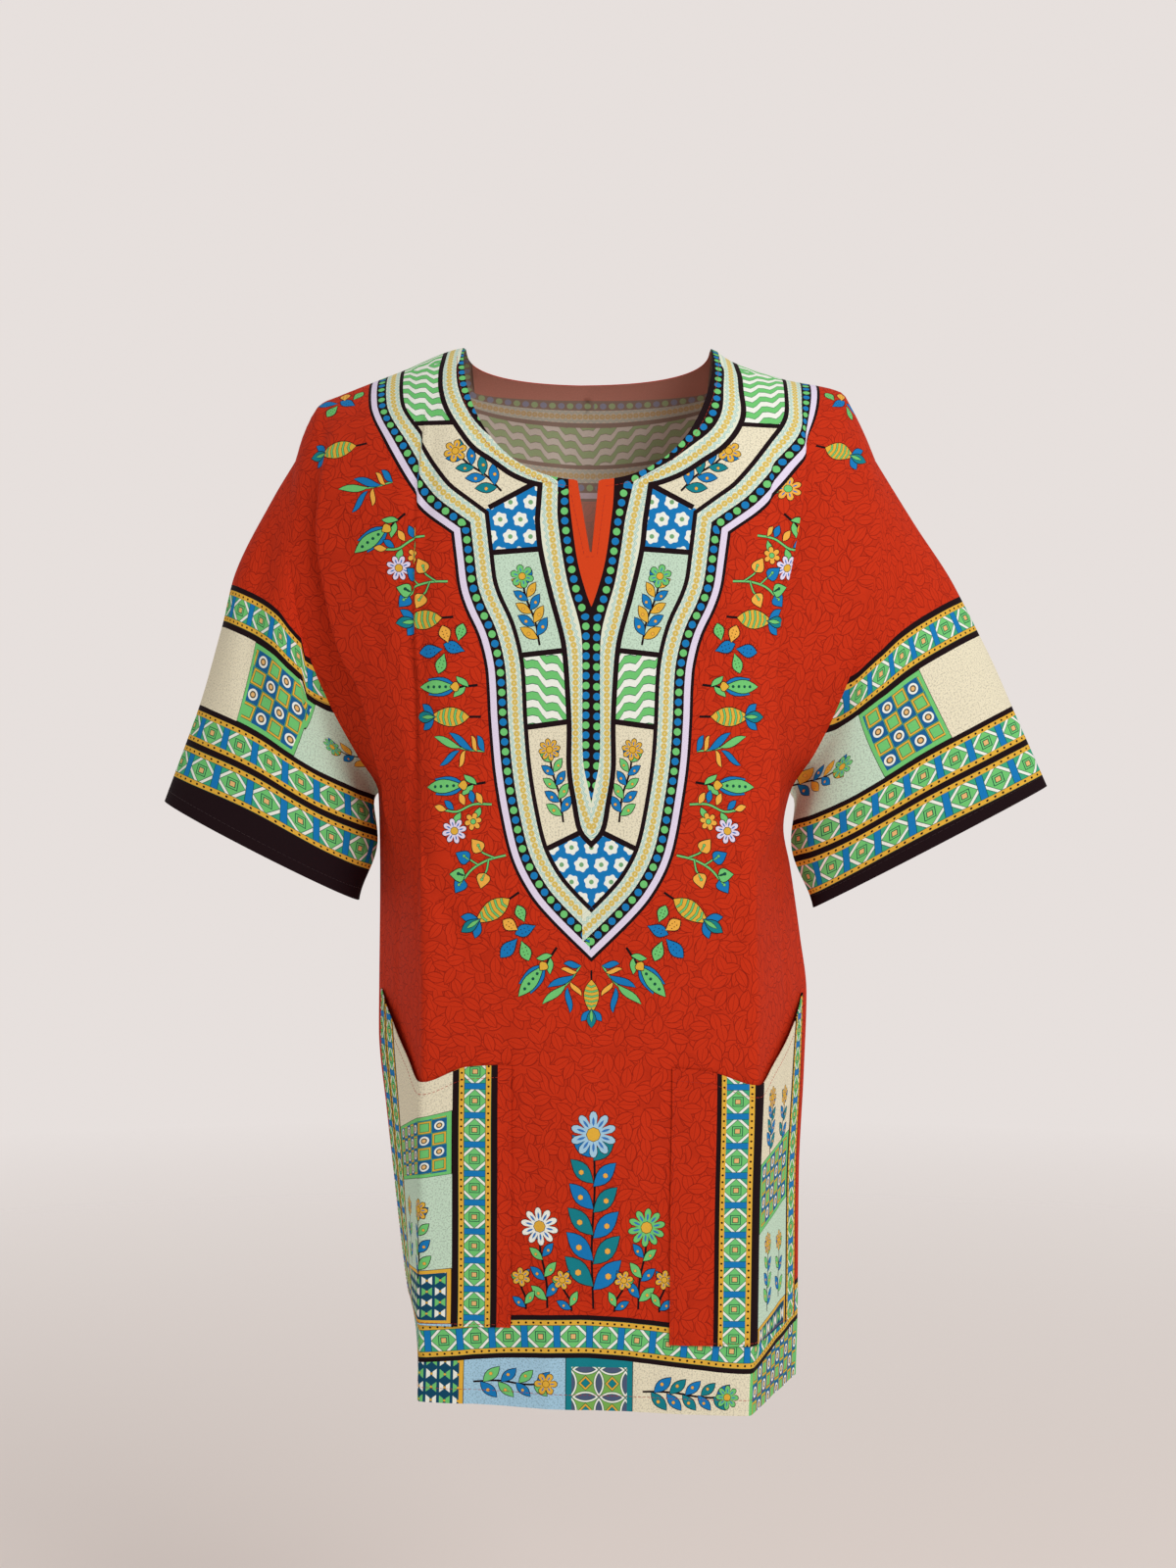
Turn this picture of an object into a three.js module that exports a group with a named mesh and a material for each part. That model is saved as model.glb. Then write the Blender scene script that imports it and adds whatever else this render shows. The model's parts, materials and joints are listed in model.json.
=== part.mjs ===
// A short-sleeved dashiki tunic dress, filled out as it is when worn. Millimetres, the front faces -Y,
// up is +Z and +X is the wearer's left. The origin is halfway between the two neck points of the shoulders.
import * as THREE from "three";

// Cloth and seams
const WALL = 1.3;
const SEAM_GAP = 0.3;
const UNDERARM_LIFT = 1.2; // how far the sleeve stands above the seam at the armpit
const HALF_CUT = 250; // from the centre line of a panel to its side seam, laid flat
const CREASE_CUT = 125; // from the centre line to the pressed crease, laid flat
const HEM = -797;
const ARMPIT = -345;

// Neck
const NECK_HALF = 95;
const NECK_DEPTH = 116;
const BACK_NECK_DEPTH = 18;
const SCOOP_POWER = 2.3;
const SLIT_HALF = 8;
const SLIT_BOTTOM = -169;

// The cloth rolls over the shoulder within this height of the shoulder line
const ROLL_HEIGHT = 110;
const UPPER_FROM = -180;
const UPPER_ROWS = 10;

// Softness of the bends across a section, as flat lengths on each side of the bend
const CENTRE_SOFT = 118;
const FOLD_SOFT = 4;

// Body sections, a row for each height: where the pressed crease and the side or armhole seam stand.
const SIDE_COLUMNS = ["z", "creaseX", "creaseY", "seamX", "seamY"];
const SIDES = {
  right: {
    sign: -1,
    rows: [
      [0, 119, -92, 227, -46],
      [-60, 122, -102, 229, -48],
      [-105, 124, -106, 230, -49],
      [-150, 125, -108, 228, -49],
      [-200, 125, -109, 222, -46],
      [-240, 124, -109, 212, -42],
      [-280, 123, -109, 196, -33],
      [-315, 122, -108, 178, -21],
      [ARMPIT, 122, -107, 163, 0],
      [-400, 122, -105, 162, 3],
      [-495, 122, -102, 163.5, 12],
      [-530, 122, -101, 164, 15],
      [-592, 123, -98, 158.5, 20],
      [-708, 124, -90, 146, 34],
      [HEM, 127, -80, 132, 42],
    ],
    // The armpit fold: its front edge, and how far the cloth turns back behind that edge
    foldCut: 200,
    foldRows: [
      [-60, 196, -72, 0],
      [-105, 204, -70, 2],
      [-150, 206, -66, 5],
      [-200, 199, -66, 8],
      [-240, 189, -66, 9],
      [-270, 173, -70, 9],
      [-313, 163, -68, 9],
      [-345, 156, -62, 8],
      [-375, 155, -54, 5],
    ],
    foldBehind: 8,
    shoulderRows: [
      [0, 0, 8],
      [95, 95, 0],
      [150, 146, -19],
      [200, 193, -37],
      [215, 207, -43],
      [232, 219, -63],
      [HALF_CUT, 226.5, -86.4],
    ],
    sleeve: {
      cuffOuter: [329, 0, -351],
      cuffInner: [178, 0, -428],
      cuffDepth: 86,
      bulgeRows: [
        [0, 0],
        [0.12, 6],
        [0.34, 12.5],
        [0.5, 7],
        [0.75, 1],
        [1, 0],
      ],
      hug: 8,
    },
  },
  left: {
    sign: 1,
    rows: [
      [0, 119, -94, 222, -46],
      [-60, 122, -104, 223, -48],
      [-105, 124, -108, 222, -50],
      [-150, 124, -110, 220, -50],
      [-200, 123, -112, 213, -49],
      [-240, 121, -113, 204, -46],
      [-280, 120, -113, 190, -37],
      [-315, 120, -113, 174, -23],
      [ARMPIT, 120, -113, 157, 0],
      [-372, 121, -112, 152, 0],
      [-401, 122, -111, 157, 0],
      [-457, 123, -110, 165, 0],
      [-500, 124, -110, 170, 0],
      [-559, 124, -110, 168, 0],
      [-641, 122, -112, 164, 0],
      [-748, 120, -117, 163, 0],
      [HEM, 118, -120, 161.5, 0],
    ],
    foldCut: 155,
    foldRows: [
      [-20, 177, -78, 2],
      [-60, 172, -84, 7],
      [-105, 165, -88, 11],
      [-170, 154, -93, 14],
      [-221, 144, -97, 15],
      [-265, 141, -99, 15],
      [-323, 143, -97, 14],
      [-345, 143, -94, 11],
      [-375, 144, -88, 5],
    ],
    foldBehind: 15,
    shoulderRows: [
      [0, 0, 7],
      [95, 95, -1],
      [110, 109, -10],
      [150, 150, -24],
      [200, 196, -34],
      [215, 204, -46],
      [232, 215, -68],
      [HALF_CUT, 222.6, -86.4],
    ],
    sleeve: {
      cuffOuter: [357, 0, -339.5],
      cuffInner: [175, 0, -434],
      cuffDepth: 38,
      bulgeRows: [
        [0, 0],
        [0.2, 4],
        [0.4, 9],
        [0.6, 8],
        [0.8, 4],
        [1, 0],
      ],
      hug: 9,
    },
  },
};

// Depth of the panels on the centre line, and how soft the pressed creases are, a row for each height
const CENTRE_COLUMNS = ["z", "frontY", "backY", "creaseSoft", "backCreaseX", "backCreaseY"];
const CENTRES = [
  [0, -98, 92, 40, 118, 84],
  [-116, -114, 108, 40, 124, 96],
  [-200, -120, 116, 36, 124, 102],
  [-300, -122, 120, 26, 120, 106],
  [-400, -120, 122, 10, 116, 110],
  [-550, -118, 128, 4, 116, 118],
  [-700, -115, 132, 4, 116, 122],
  [HEM, -112, 134, 4, 116, 124],
];

// Soft folds, as troughs along lines laid on the flat cut: from and to, half width, depth
const FOLD_COLUMNS = ["fromCut", "fromZ", "toCut", "toZ", "width", "depth"];
const FRONT_TROUGHS = [
  [-116, -70, -132, -330, 9, 3.2],
  [-132, -330, -122, -400, 9, 2.4],
  [60, -560, 30, -797, 30, 4],
  [-40, -600, -70, -797, 26, 4],
  [-20, -300, 10, -520, 34, 2.5],
];
const BACK_TROUGHS = [
  [-60, -330, -74, -797, 34, 8],
  [52, -360, 66, -797, 32, 7],
  [-6, -470, -2, -797, 30, 6],
  [-150, -150, -96, -420, 24, 6],
  [150, -150, 100, -430, 26, 7],
];
// Folds of the sleeves: side, share of the way round from the shoulder line, share along, width, depth
const SLEEVE_FOLD_COLUMNS = ["from", "fromAlong", "to", "toAlong", "width", "depth"];
const SLEEVE_TROUGHS = {
  right: [
    [0.3, 0.16, 0.42, 0.62, 10, 6],
    [-0.4, 0.1, -0.52, 0.85, 16, 7],
    [-0.72, 0.05, -0.7, 0.6, 14, 6],
  ],
  left: [
    [0.16, 0.02, 0.14, 0.45, 10, 3.5],
    [-0.36, 0.1, -0.46, 0.8, 14, 5],
    [-0.7, 0.05, -0.68, 0.6, 12, 5],
  ],
};

// Columns and rows of the nets, as flat distances from the centre line and heights
const FRONT_COLUMNS = {
  right: [3, 8, 20, 38, 57, 70, 81, 89, 93.5, 95.5, 104, 112, 118, 122, 125, 128, 134, 144, 157, 172, 184,
    191, 196, 200, 204, 208, 213, 224, 238, HALF_CUT],
  left: [3, 8, 20, 38, 62, 71, 81, 89, 93.5, 95.5, 104, 112, 118, 122, 125, 128, 134, 143, 151, 155, 159,
    165, 170, 177, 189, 203, 219, 235, HALF_CUT],
};
const FRONT_ROWS = [HEM, -770, -738, -706, -670, -634, -598, -566, -540, -512, -484, -454, -426, -402, -382, -363,
  ARMPIT, -333, -316, -296, -270, -240, -210, UPPER_FROM];
const BACK_COLUMNS = [9, 22, 36, 50, 64, 78, 89, 95.5, 106, 118, 130, 144, 160, 178, 196, 214, 232, HALF_CUT];
const BACK_ROWS = [HEM, -762, -706, -634, -566, -512, -454, -402, -382, -363, ARMPIT, -333, -316, -296, -270, -240,
  -210, UPPER_FROM];
const SLEEVE_RINGS = [0, 0.03, 0.09, 0.17, 0.26, 0.36, 0.47, 0.58, 0.69, 0.8, 0.9, 1];

// Patch pockets: inner edge and outer edge on the flat cut, bottom, and the mouth's height along it
const POCKET_WALL = 1.3;
const GAPE_TOWARDS_SIDE = 2.2;
const GAPE_TOWARDS_MOUTH = 4;
const POCKETS = {
  right: {
    inner: 57,
    outer: 238,
    bottom: -738,
    mouth: [
      [57, -543],
      [90, -545],
      [CREASE_CUT, -557],
      [155, -540],
      [200, -514],
      [238, -497],
    ],
    gape: 3.5,
  },
  left: {
    inner: 62,
    outer: 235,
    bottom: -747,
    mouth: [
      [62, -545],
      [90, -548],
      [CREASE_CUT, -558],
      [155, -545],
      [200, -522],
      [235, -499],
    ],
    gape: 3.5,
  },
};
const POCKET_ROWS = 12;

const clamp = (x, low, high) => Math.min(high, Math.max(low, x));

function smoothStep(from, to, x) {
  const t = clamp((x - from) / (to - from), 0, 1);
  return t * t * (3 - 2 * t);
}

// A smooth curve through the rows of a table, with no overshoot: the value of one column at x.
function curve(rows, column) {
  const sorted = [...rows].sort((a, b) => a[0] - b[0]);
  const xs = sorted.map((row) => row[0]);
  const ys = sorted.map((row) => row[column]);
  const steps = xs.slice(1).map((x, i) => (ys[i + 1] - ys[i]) / (x - xs[i]));
  const slopes = xs.map((_, i) => {
    if (i === 0) return steps[0];
    if (i === xs.length - 1) return steps[i - 1];
    const [before, after] = [steps[i - 1], steps[i]];
    return before * after <= 0 ? 0 : (2 * before * after) / (before + after);
  });
  return (x) => {
    if (x <= xs[0]) return ys[0];
    if (x >= xs.at(-1)) return ys.at(-1);
    const i = xs.findIndex((edge) => edge > x) - 1;
    const width = xs[i + 1] - xs[i];
    const t = (x - xs[i]) / width;
    const back = 1 - t;
    return (
      back * back * (1 + 2 * t) * ys[i] +
      t * t * (3 - 2 * t) * ys[i + 1] +
      t * back * width * (back * slopes[i] - t * slopes[i + 1])
    );
  };
}

// Named curves of a table, one for each column after the first.
function curvesOf(rows, names) {
  return Object.fromEntries(names.slice(1).map((name, i) => [name, curve(rows, i + 1)]));
}

const centre = curvesOf(CENTRES, CENTRE_COLUMNS);
for (const side of Object.values(SIDES)) {
  side.at = curvesOf(side.rows, SIDE_COLUMNS);
  side.fold = curvesOf(side.foldRows, ["z", "x", "y", "back"]);
  side.shoulder = curvesOf(side.shoulderRows, ["cut", "x", "z"]);
}
const sideOf = (cut) => (cut < 0 ? SIDES.right : SIDES.left);

// A ramp that turns from 0 to a slope of 1 over the given softness.
function ramp(x, soft) {
  if (x <= -soft) return 0;
  if (x >= soft) return x;
  return ((x + soft) * (x + soft)) / (4 * soft);
}

// Half of a section, as points [cut, x, y, softness], from the centre line to the seam.
function frontStations(side, z) {
  const at = side.at;
  const crease = [at.creaseX(z), at.creaseY(z)];
  const seam = [at.seamX(z), at.seamY(z)];
  const onFlank = (cut) => {
    const t = (cut - CREASE_CUT) / (HALF_CUT - CREASE_CUT);
    return crease.map((value, k) => value + (seam[k] - value) * t);
  };
  const folded = smoothStep(-402, -350, z) * (1 - smoothStep(-70, -15, z));
  const edge = [side.fold.x(z), side.fold.y(z)];
  const behind = [edge[0] - side.fold.back(z), edge[1] + 9];
  const behindCut = side.foldCut + side.foldBehind;
  const mixed = (flat, fold) => flat.map((value, k) => value + (fold[k] - value) * folded);
  return [
    [CREASE_CUT, ...crease, centre.creaseSoft(z)],
    [side.foldCut, ...mixed(onFlank(side.foldCut), edge), FOLD_SOFT],
    [behindCut, ...mixed(onFlank(behindCut), behind), FOLD_SOFT],
    [HALF_CUT, ...seam, 0],
  ];
}

function backStations(side, z) {
  return [
    [CREASE_CUT, centre.backCreaseX(z), centre.backCreaseY(z), 3 * centre.creaseSoft(z)],
    [HALF_CUT, side.at.seamX(z), Math.abs(side.at.seamY(z)) * (z > ARMPIT ? 1 : Math.sign(side.at.seamY(z))), 0],
  ];
}

// The point of a section at a flat distance from the centre line: straight runs with rounded bends.
// The bend at the centre line takes in the crease of the other half.
function sectionPoint(stations, centreY, otherCreaseY, cut) {
  const run = [[0, 0, centreY, CENTRE_SOFT], ...stations];
  const slope = (i) => [1, 2].map((k) => (run[i + 1][k] - run[i][k]) / (run[i + 1][0] - run[i][0]));
  const first = slope(0);
  const otherSlope = (otherCreaseY - centreY) / CREASE_CUT;
  const point = [first[0] * cut, centreY + first[1] * cut + (first[1] + otherSlope) * ramp(-cut, CENTRE_SOFT)];
  for (let i = 1; i < run.length - 1; i++) {
    const [before, after] = [slope(i - 1), slope(i)];
    const rise = ramp(cut - run[i][0], Math.min(run[i][3], HALF_CUT - run[i][0]));
    point[0] += (after[0] - before[0]) * rise;
    point[1] += (after[1] - before[1]) * rise;
  }
  return point;
}

// How deep the soft folds are at a place on the flat cut.
function troughDepth(folds, names, cut, z) {
  const column = Object.fromEntries(names.map((name, i) => [name, i]));
  let depth = 0;
  for (const fold of folds) {
    const from = [fold[column.fromCut ?? column.from], fold[column.fromZ ?? column.fromAlong]];
    const to = [fold[column.toCut ?? column.to], fold[column.toZ ?? column.toAlong]];
    const along = [to[0] - from[0], to[1] - from[1]];
    const length = along[0] ** 2 + along[1] ** 2;
    const t = clamp(((cut - from[0]) * along[0] + (z - from[1]) * along[1]) / length, -0.2, 1.2);
    const off = Math.hypot(cut - from[0] - t * along[0], z - from[1] - t * along[1]);
    const ends = smoothStep(-0.2, 0.15, t) * (1 - smoothStep(0.85, 1.2, t) * (to[1] > HEM ? 1 : 0));
    depth += fold[column.depth] * ends * Math.exp(-((off / fold[column.width]) ** 2));
  }
  return depth;
}

// A point of the front or back panel, from its place on the flat cut and its height.
function panelPoint(cut, z, front) {
  const side = sideOf(cut);
  const across = Math.abs(cut);
  const other = side === SIDES.left ? SIDES.right : SIDES.left;
  const stations = front ? frontStations(side, z) : backStations(side, z);
  const [x, y] = front
    ? sectionPoint(stations, centre.frontY(z), other.at.creaseY(z), across)
    : sectionPoint(stations, centre.backY(z), centre.backCreaseY(z), across);
  const share = clamp((side.shoulder.z(across) - z) / ROLL_HEIGHT, 0, 1);
  const forward = Math.sqrt(share * (2 - share));
  const level = smoothStep(0, 1, share);
  const trough = troughDepth(front ? FRONT_TROUGHS : BACK_TROUGHS, FOLD_COLUMNS, cut, z);
  const sunk = trough * forward * (front ? 1 : -1);
  const half = ((front ? -1 : 1) * SEAM_GAP) / 2;
  return new THREE.Vector3(
    side.sign * (side.shoulder.x(across) + (x - side.shoulder.x(across)) * level),
    y * forward + sunk + half,
    z,
  );
}

// The height where a panel ends: shoulder line, neckline or slit.
function panelTop(cut, front) {
  const across = Math.abs(cut);
  if (across > NECK_HALF) return sideOf(cut).shoulder.z(across);
  const depth = front ? NECK_DEPTH : BACK_NECK_DEPTH;
  const scoop = -depth * (1 - (across / NECK_HALF) ** SCOOP_POWER) ** (1 / SCOOP_POWER);
  if (!front || across > SLIT_HALF) return scoop;
  return SLIT_BOTTOM + (scoop - SLIT_BOTTOM) * (across / SLIT_HALF);
}

// Outward direction at each point of a net, from its neighbours.
function netNormals(net, around) {
  const columns = net[0].length;
  return net.map((row, i) =>
    row.map((_, j) => {
      const next = around ? (j + 1) % columns : Math.min(j + 1, columns - 1);
      const last = around ? (j + columns - 1) % columns : Math.max(j - 1, 0);
      const across = row[next].clone().sub(row[last]);
      const along = net[Math.min(i + 1, net.length - 1)][j].clone().sub(net[Math.max(i - 1, 0)][j]);
      return across.cross(along).normalize();
    }),
  );
}

function movedNet(net, normals, distance) {
  return net.map((row, i) =>
    row.map((point, j) => {
      const far = typeof distance === "function" ? distance(i, j) : distance;
      return point.clone().addScaledVector(normals[i][j], far);
    }),
  );
}

// One closed wall between an outer and an inner net.
function wallMesh(name, outer, inner, around, colour) {
  const rows = outer.length;
  const columns = outer[0].length;
  const spans = around ? columns : columns - 1;
  const at = (layer, i, j) => (layer * rows + i) * columns + (j % columns);
  const index = [];
  const quad = (a, b, c, d) => index.push(a, b, c, a, c, d);
  for (let i = 0; i < rows - 1; i++) {
    for (let j = 0; j < spans; j++) {
      quad(at(0, i, j), at(0, i, j + 1), at(0, i + 1, j + 1), at(0, i + 1, j));
      quad(at(1, i, j), at(1, i + 1, j), at(1, i + 1, j + 1), at(1, i, j + 1));
    }
  }
  for (let j = 0; j < spans; j++) {
    const last = rows - 1;
    quad(at(0, 0, j + 1), at(0, 0, j), at(1, 0, j), at(1, 0, j + 1));
    quad(at(0, last, j), at(0, last, j + 1), at(1, last, j + 1), at(1, last, j));
  }
  if (!around) {
    for (let i = 0; i < rows - 1; i++) {
      const last = columns - 1;
      quad(at(0, i, 0), at(0, i + 1, 0), at(1, i + 1, 0), at(1, i, 0));
      quad(at(0, i + 1, last), at(0, i, last), at(1, i, last), at(1, i + 1, last));
    }
  }
  const points = [...outer.flat(), ...inner.flat()];
  const geometry = new THREE.BufferGeometry()
    .setAttribute("position", new THREE.Float32BufferAttribute(points.flatMap((p) => p.toArray()), 3))
    .setIndex(index);
  geometry.computeVertexNormals();
  const mesh = new THREE.Mesh(geometry, new THREE.MeshStandardMaterial({ color: colour, roughness: 0.85 }));
  mesh.name = name;
  return mesh;
}

// Net of a panel: level rows up to the slit, then rows that close on its top edge.
function panelNet(cuts, heights, front) {
  const upper = Array.from({ length: UPPER_ROWS }, (_, k) => (k + 1) / UPPER_ROWS);
  const levels = heights.map((z) => cuts.map((cut) => panelPoint(cut, z, front)));
  const closing = upper.map((share) =>
    cuts.map((cut) => {
      const top = panelTop(cut, front);
      const crowding = 1.15 + 0.85 * smoothStep(60, 110, Math.abs(cut));
      return panelPoint(cut, top + (UPPER_FROM - top) * (1 - share) ** crowding, front);
    }),
  );
  return [...levels, ...closing];
}

// Keeps the rims of the side and shoulder seams square to the gap between front and back.
function squareRims(net, normals, cuts, heights) {
  const flatten = (normal) => normal.setY(0).normalize();
  cuts.forEach((cut, j) => {
    if (Math.abs(cut) > NECK_HALF) flatten(normals.at(-1)[j]);
  });
  heights.forEach((z, i) => {
    if (z > ARMPIT) return;
    flatten(normals[i][0]);
    flatten(normals[i].at(-1));
  });
}

function makePanel(name, cuts, heights, front, colour) {
  const net = panelNet(cuts, heights, front);
  const normals = netNormals(net, false);
  squareRims(net, normals, cuts, heights);
  const inner = movedNet(net, normals, -WALL);
  return { net, inner, normals, cuts, mesh: wallMesh(name, net, inner, false, colour) };
}

// The armhole's edge on a panel, from the shoulder down to the armpit.
function armholeEdge(panel, heights, sign) {
  const column = panel.cuts.findIndex((cut) => cut === sign * HALF_CUT);
  const from = heights.indexOf(ARMPIT);
  const pick = (net) => net.slice(from).map((row) => row[column]).reverse();
  return { outer: pick(panel.net), inner: pick(panel.inner) };
}

// A sleeve: rings from the armhole's edge to the cuff.
function makeSleeve(name, side, sleeveTroughs, frontEdge, backEdge, colour) {
  const { cuffOuter, cuffInner, cuffDepth, bulgeRows, hug } = side.sleeve;
  const sign = side.sign;
  const placed = ([x, y, z]) => new THREE.Vector3(sign * x, y, z);
  const joint = (a, b) => a.clone().add(b).multiplyScalar(0.5);
  const loopOf = (front, back) => [
    joint(front[0], back[0]),
    ...front.slice(1, -1),
    joint(front.at(-1), back.at(-1)),
    ...back.slice(1, -1).reverse(),
  ];
  const loop = loopOf(frontEdge.outer, backEdge.outer);
  const innerLoop = loopOf(frontEdge.inner, backEdge.inner);
  const below = frontEdge.outer.length - 1;
  const turns = loop.map((_, j) => (j <= below ? j / below : 1 + (j - below) / (loop.length - below)));
  const middle = placed(cuffOuter).add(placed(cuffInner)).multiplyScalar(0.5);
  const reach = placed(cuffOuter).sub(placed(cuffInner)).multiplyScalar(0.5);
  const cuff = turns.map((turn) => {
    const angle = turn * Math.PI;
    const point = middle.clone().addScaledVector(reach, Math.cos(angle));
    point.y -= (cuffDepth / 2) * Math.sin(angle);
    return point;
  });
  const bulge = curve(bulgeRows, 1);
  const outward = new THREE.Vector3(sign, 0, 0.38).normalize();
  const ringPoint = (j, t) => {
    const angle = turns[j] * Math.PI;
    const under = Math.max(0, -Math.cos(angle)) ** 2;
    const over = Math.max(0, Math.cos(angle));
    const point = loop[j].clone().lerp(cuff[j], t);
    point.addScaledVector(outward, bulge(t) * over);
    const away = 3 * (1 - Math.exp(-t / 0.03)) * (1 - t) - hug * Math.sin(Math.PI * t) ** 2;
    point.x += sign * away * under;
    const share = turns[j] <= 1 ? turns[j] : turns[j] - 2;
    const sunk = troughDepth(
      sleeveTroughs.map(([a, b, c, d, width, depth]) => [a, b, c, d, width / 100, depth]),
      SLEEVE_FOLD_COLUMNS,
      share,
      t,
    );
    point.y += (Math.sign(Math.sin(angle)) || 0) * sunk * Math.abs(Math.sin(angle));
    point.y -= 6 * Math.sin(angle) * Math.sin(Math.PI * t);
    return point;
  };
  const rings = SLEEVE_RINGS.map((t) => loop.map((_, j) => ringPoint(j, t)));
  const ordered = sign > 0 ? rings : rings.map((ring) => [ring[0], ...ring.slice(1).reverse()]);
  const innerStart = sign > 0 ? innerLoop : [innerLoop[0], ...innerLoop.slice(1).reverse()];
  const normals = netNormals(ordered, true).map((row) => row.map((normal) => normal.negate()));
  const inner = movedNet(ordered, normals, -WALL);
  const orderedTurns = sign > 0 ? turns : [turns[0], ...turns.slice(1).reverse()];
  const seam = ordered[0].map((point) => point.clone());
  ordered[0].forEach((point, j) => {
    // near the armpit the sleeve turns back on the body, so its wall there stands up and away from the seam
    const under = smoothStep(0.5, 0.8, 1 - Math.abs(1 - orderedTurns[j]));
    inner[0][j].lerp(innerStart[j], 1 - under);
    const edge = seam[(j + 1) % seam.length].clone().sub(seam.at(j - 1)).normalize();
    const step = ordered[1][j].clone().sub(point);
    step.addScaledVector(edge, -step.dot(edge)).setLength(SEAM_GAP * 1.3);
    step.x += sign * UNDERARM_LIFT * 0.6 * under;
    step.z += UNDERARM_LIFT * under;
    point.add(step);
    inner[0][j].add(step);
  });
  const turned = (net) => net.map((row) => [...row].reverse());
  return wallMesh(name, turned(ordered), turned(inner), true, colour);
}

// A patch pocket, made from the panel's own points moved out.
function makePocket(name, side, pocket, cuts, colour) {
  const within = cuts.filter((cut) => Math.abs(cut) >= pocket.inner && Math.abs(cut) <= pocket.outer);
  const own = within.filter((cut) => Math.sign(cut) === side.sign);
  const mouth = curve(pocket.mouth, 1);
  const shares = Array.from({ length: POCKET_ROWS }, (_, i) => i / (POCKET_ROWS - 1));
  const net = shares.map((share) =>
    own.map((cut) => panelPoint(cut, pocket.bottom + (mouth(Math.abs(cut)) - pocket.bottom) * share, true)),
  );
  const normals = netNormals(net, false);
  const lift = (i, j) => {
    const t = (Math.abs(own[j]) - pocket.inner) / (pocket.outer - pocket.inner);
    const open = Math.sin(Math.PI * clamp(t, 0, 1) ** GAPE_TOWARDS_SIDE) * shares[i] ** GAPE_TOWARDS_MOUTH;
    return SEAM_GAP + 0.1 + pocket.gape * open;
  };
  const under = movedNet(net, normals, lift);
  const over = movedNet(net, normals, (i, j) => lift(i, j) + POCKET_WALL);
  return wallMesh(name, over, under, false, colour);
}

const frontCuts = [...FRONT_COLUMNS.right.map((cut) => -cut).reverse(), 0, ...FRONT_COLUMNS.left];
const backCuts = [...[...BACK_COLUMNS].reverse(), 0, ...BACK_COLUMNS.map((cut) => -cut)];

const COLOURS = { panel: 0xc8401f, sleeve: 0xd9763a, pocket: 0xb8902f };
const front = makePanel("front", frontCuts, FRONT_ROWS, true, COLOURS.panel);
const back = makePanel("back", backCuts, BACK_ROWS, false, COLOURS.panel);

const tunic = new THREE.Group();
tunic.name = "dashiki_tunic_dress";
tunic.add(front.mesh, back.mesh);
for (const [name, side] of Object.entries(SIDES)) {
  const frontEdge = armholeEdge(front, FRONT_ROWS, side.sign);
  const backEdge = armholeEdge(back, BACK_ROWS, side.sign);
  tunic.add(makeSleeve(`sleeve_${name}`, side, SLEEVE_TROUGHS[name], frontEdge, backEdge, COLOURS.sleeve));
  tunic.add(makePocket(`pocket_${name}`, side, POCKETS[name], frontCuts, COLOURS.pocket));
}

export default tunic;
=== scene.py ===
"""A printed dashiki tunic dress in cotton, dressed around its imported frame.

The cloth is laid out flat first: a panel's place is (cut, rise), where cut is the distance from the centre
line and rise the distance up the cloth, both in millimetres. The print is drawn there as outlines and bands,
and each point is then put where the cloth goes when it is worn.
"""

import json
import math

import bpy
import numpy as np
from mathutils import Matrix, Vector, kdtree
from mathutils.geometry import delaunay_2d_cdt

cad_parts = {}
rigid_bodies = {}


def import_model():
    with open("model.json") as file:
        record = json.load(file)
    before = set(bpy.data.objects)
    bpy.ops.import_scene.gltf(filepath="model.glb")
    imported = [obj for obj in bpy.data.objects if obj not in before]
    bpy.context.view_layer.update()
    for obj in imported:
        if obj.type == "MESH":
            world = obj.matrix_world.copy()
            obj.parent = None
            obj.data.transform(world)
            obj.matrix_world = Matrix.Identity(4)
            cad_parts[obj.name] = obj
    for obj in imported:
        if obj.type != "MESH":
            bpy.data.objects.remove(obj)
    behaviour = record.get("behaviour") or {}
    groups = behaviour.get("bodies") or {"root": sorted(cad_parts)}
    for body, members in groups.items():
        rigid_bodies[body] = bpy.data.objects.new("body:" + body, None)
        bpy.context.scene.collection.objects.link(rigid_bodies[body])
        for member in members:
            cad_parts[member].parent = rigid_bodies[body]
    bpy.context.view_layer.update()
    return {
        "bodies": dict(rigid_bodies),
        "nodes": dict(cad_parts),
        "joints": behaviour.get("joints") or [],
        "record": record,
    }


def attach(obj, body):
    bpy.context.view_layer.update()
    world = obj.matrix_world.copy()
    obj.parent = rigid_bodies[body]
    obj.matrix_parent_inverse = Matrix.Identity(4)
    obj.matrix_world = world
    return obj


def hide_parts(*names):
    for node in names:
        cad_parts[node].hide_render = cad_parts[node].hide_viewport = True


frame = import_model()

MM = 0.001

# The camera of the photo: level, in front, at half the garment's height
CAMERA_DISTANCE = 1.8
CAMERA_HEIGHT = -0.338
FOCAL_PIXELS = 2361
PICTURE_HEIGHT = 1600
SENSOR = 36.0

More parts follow.
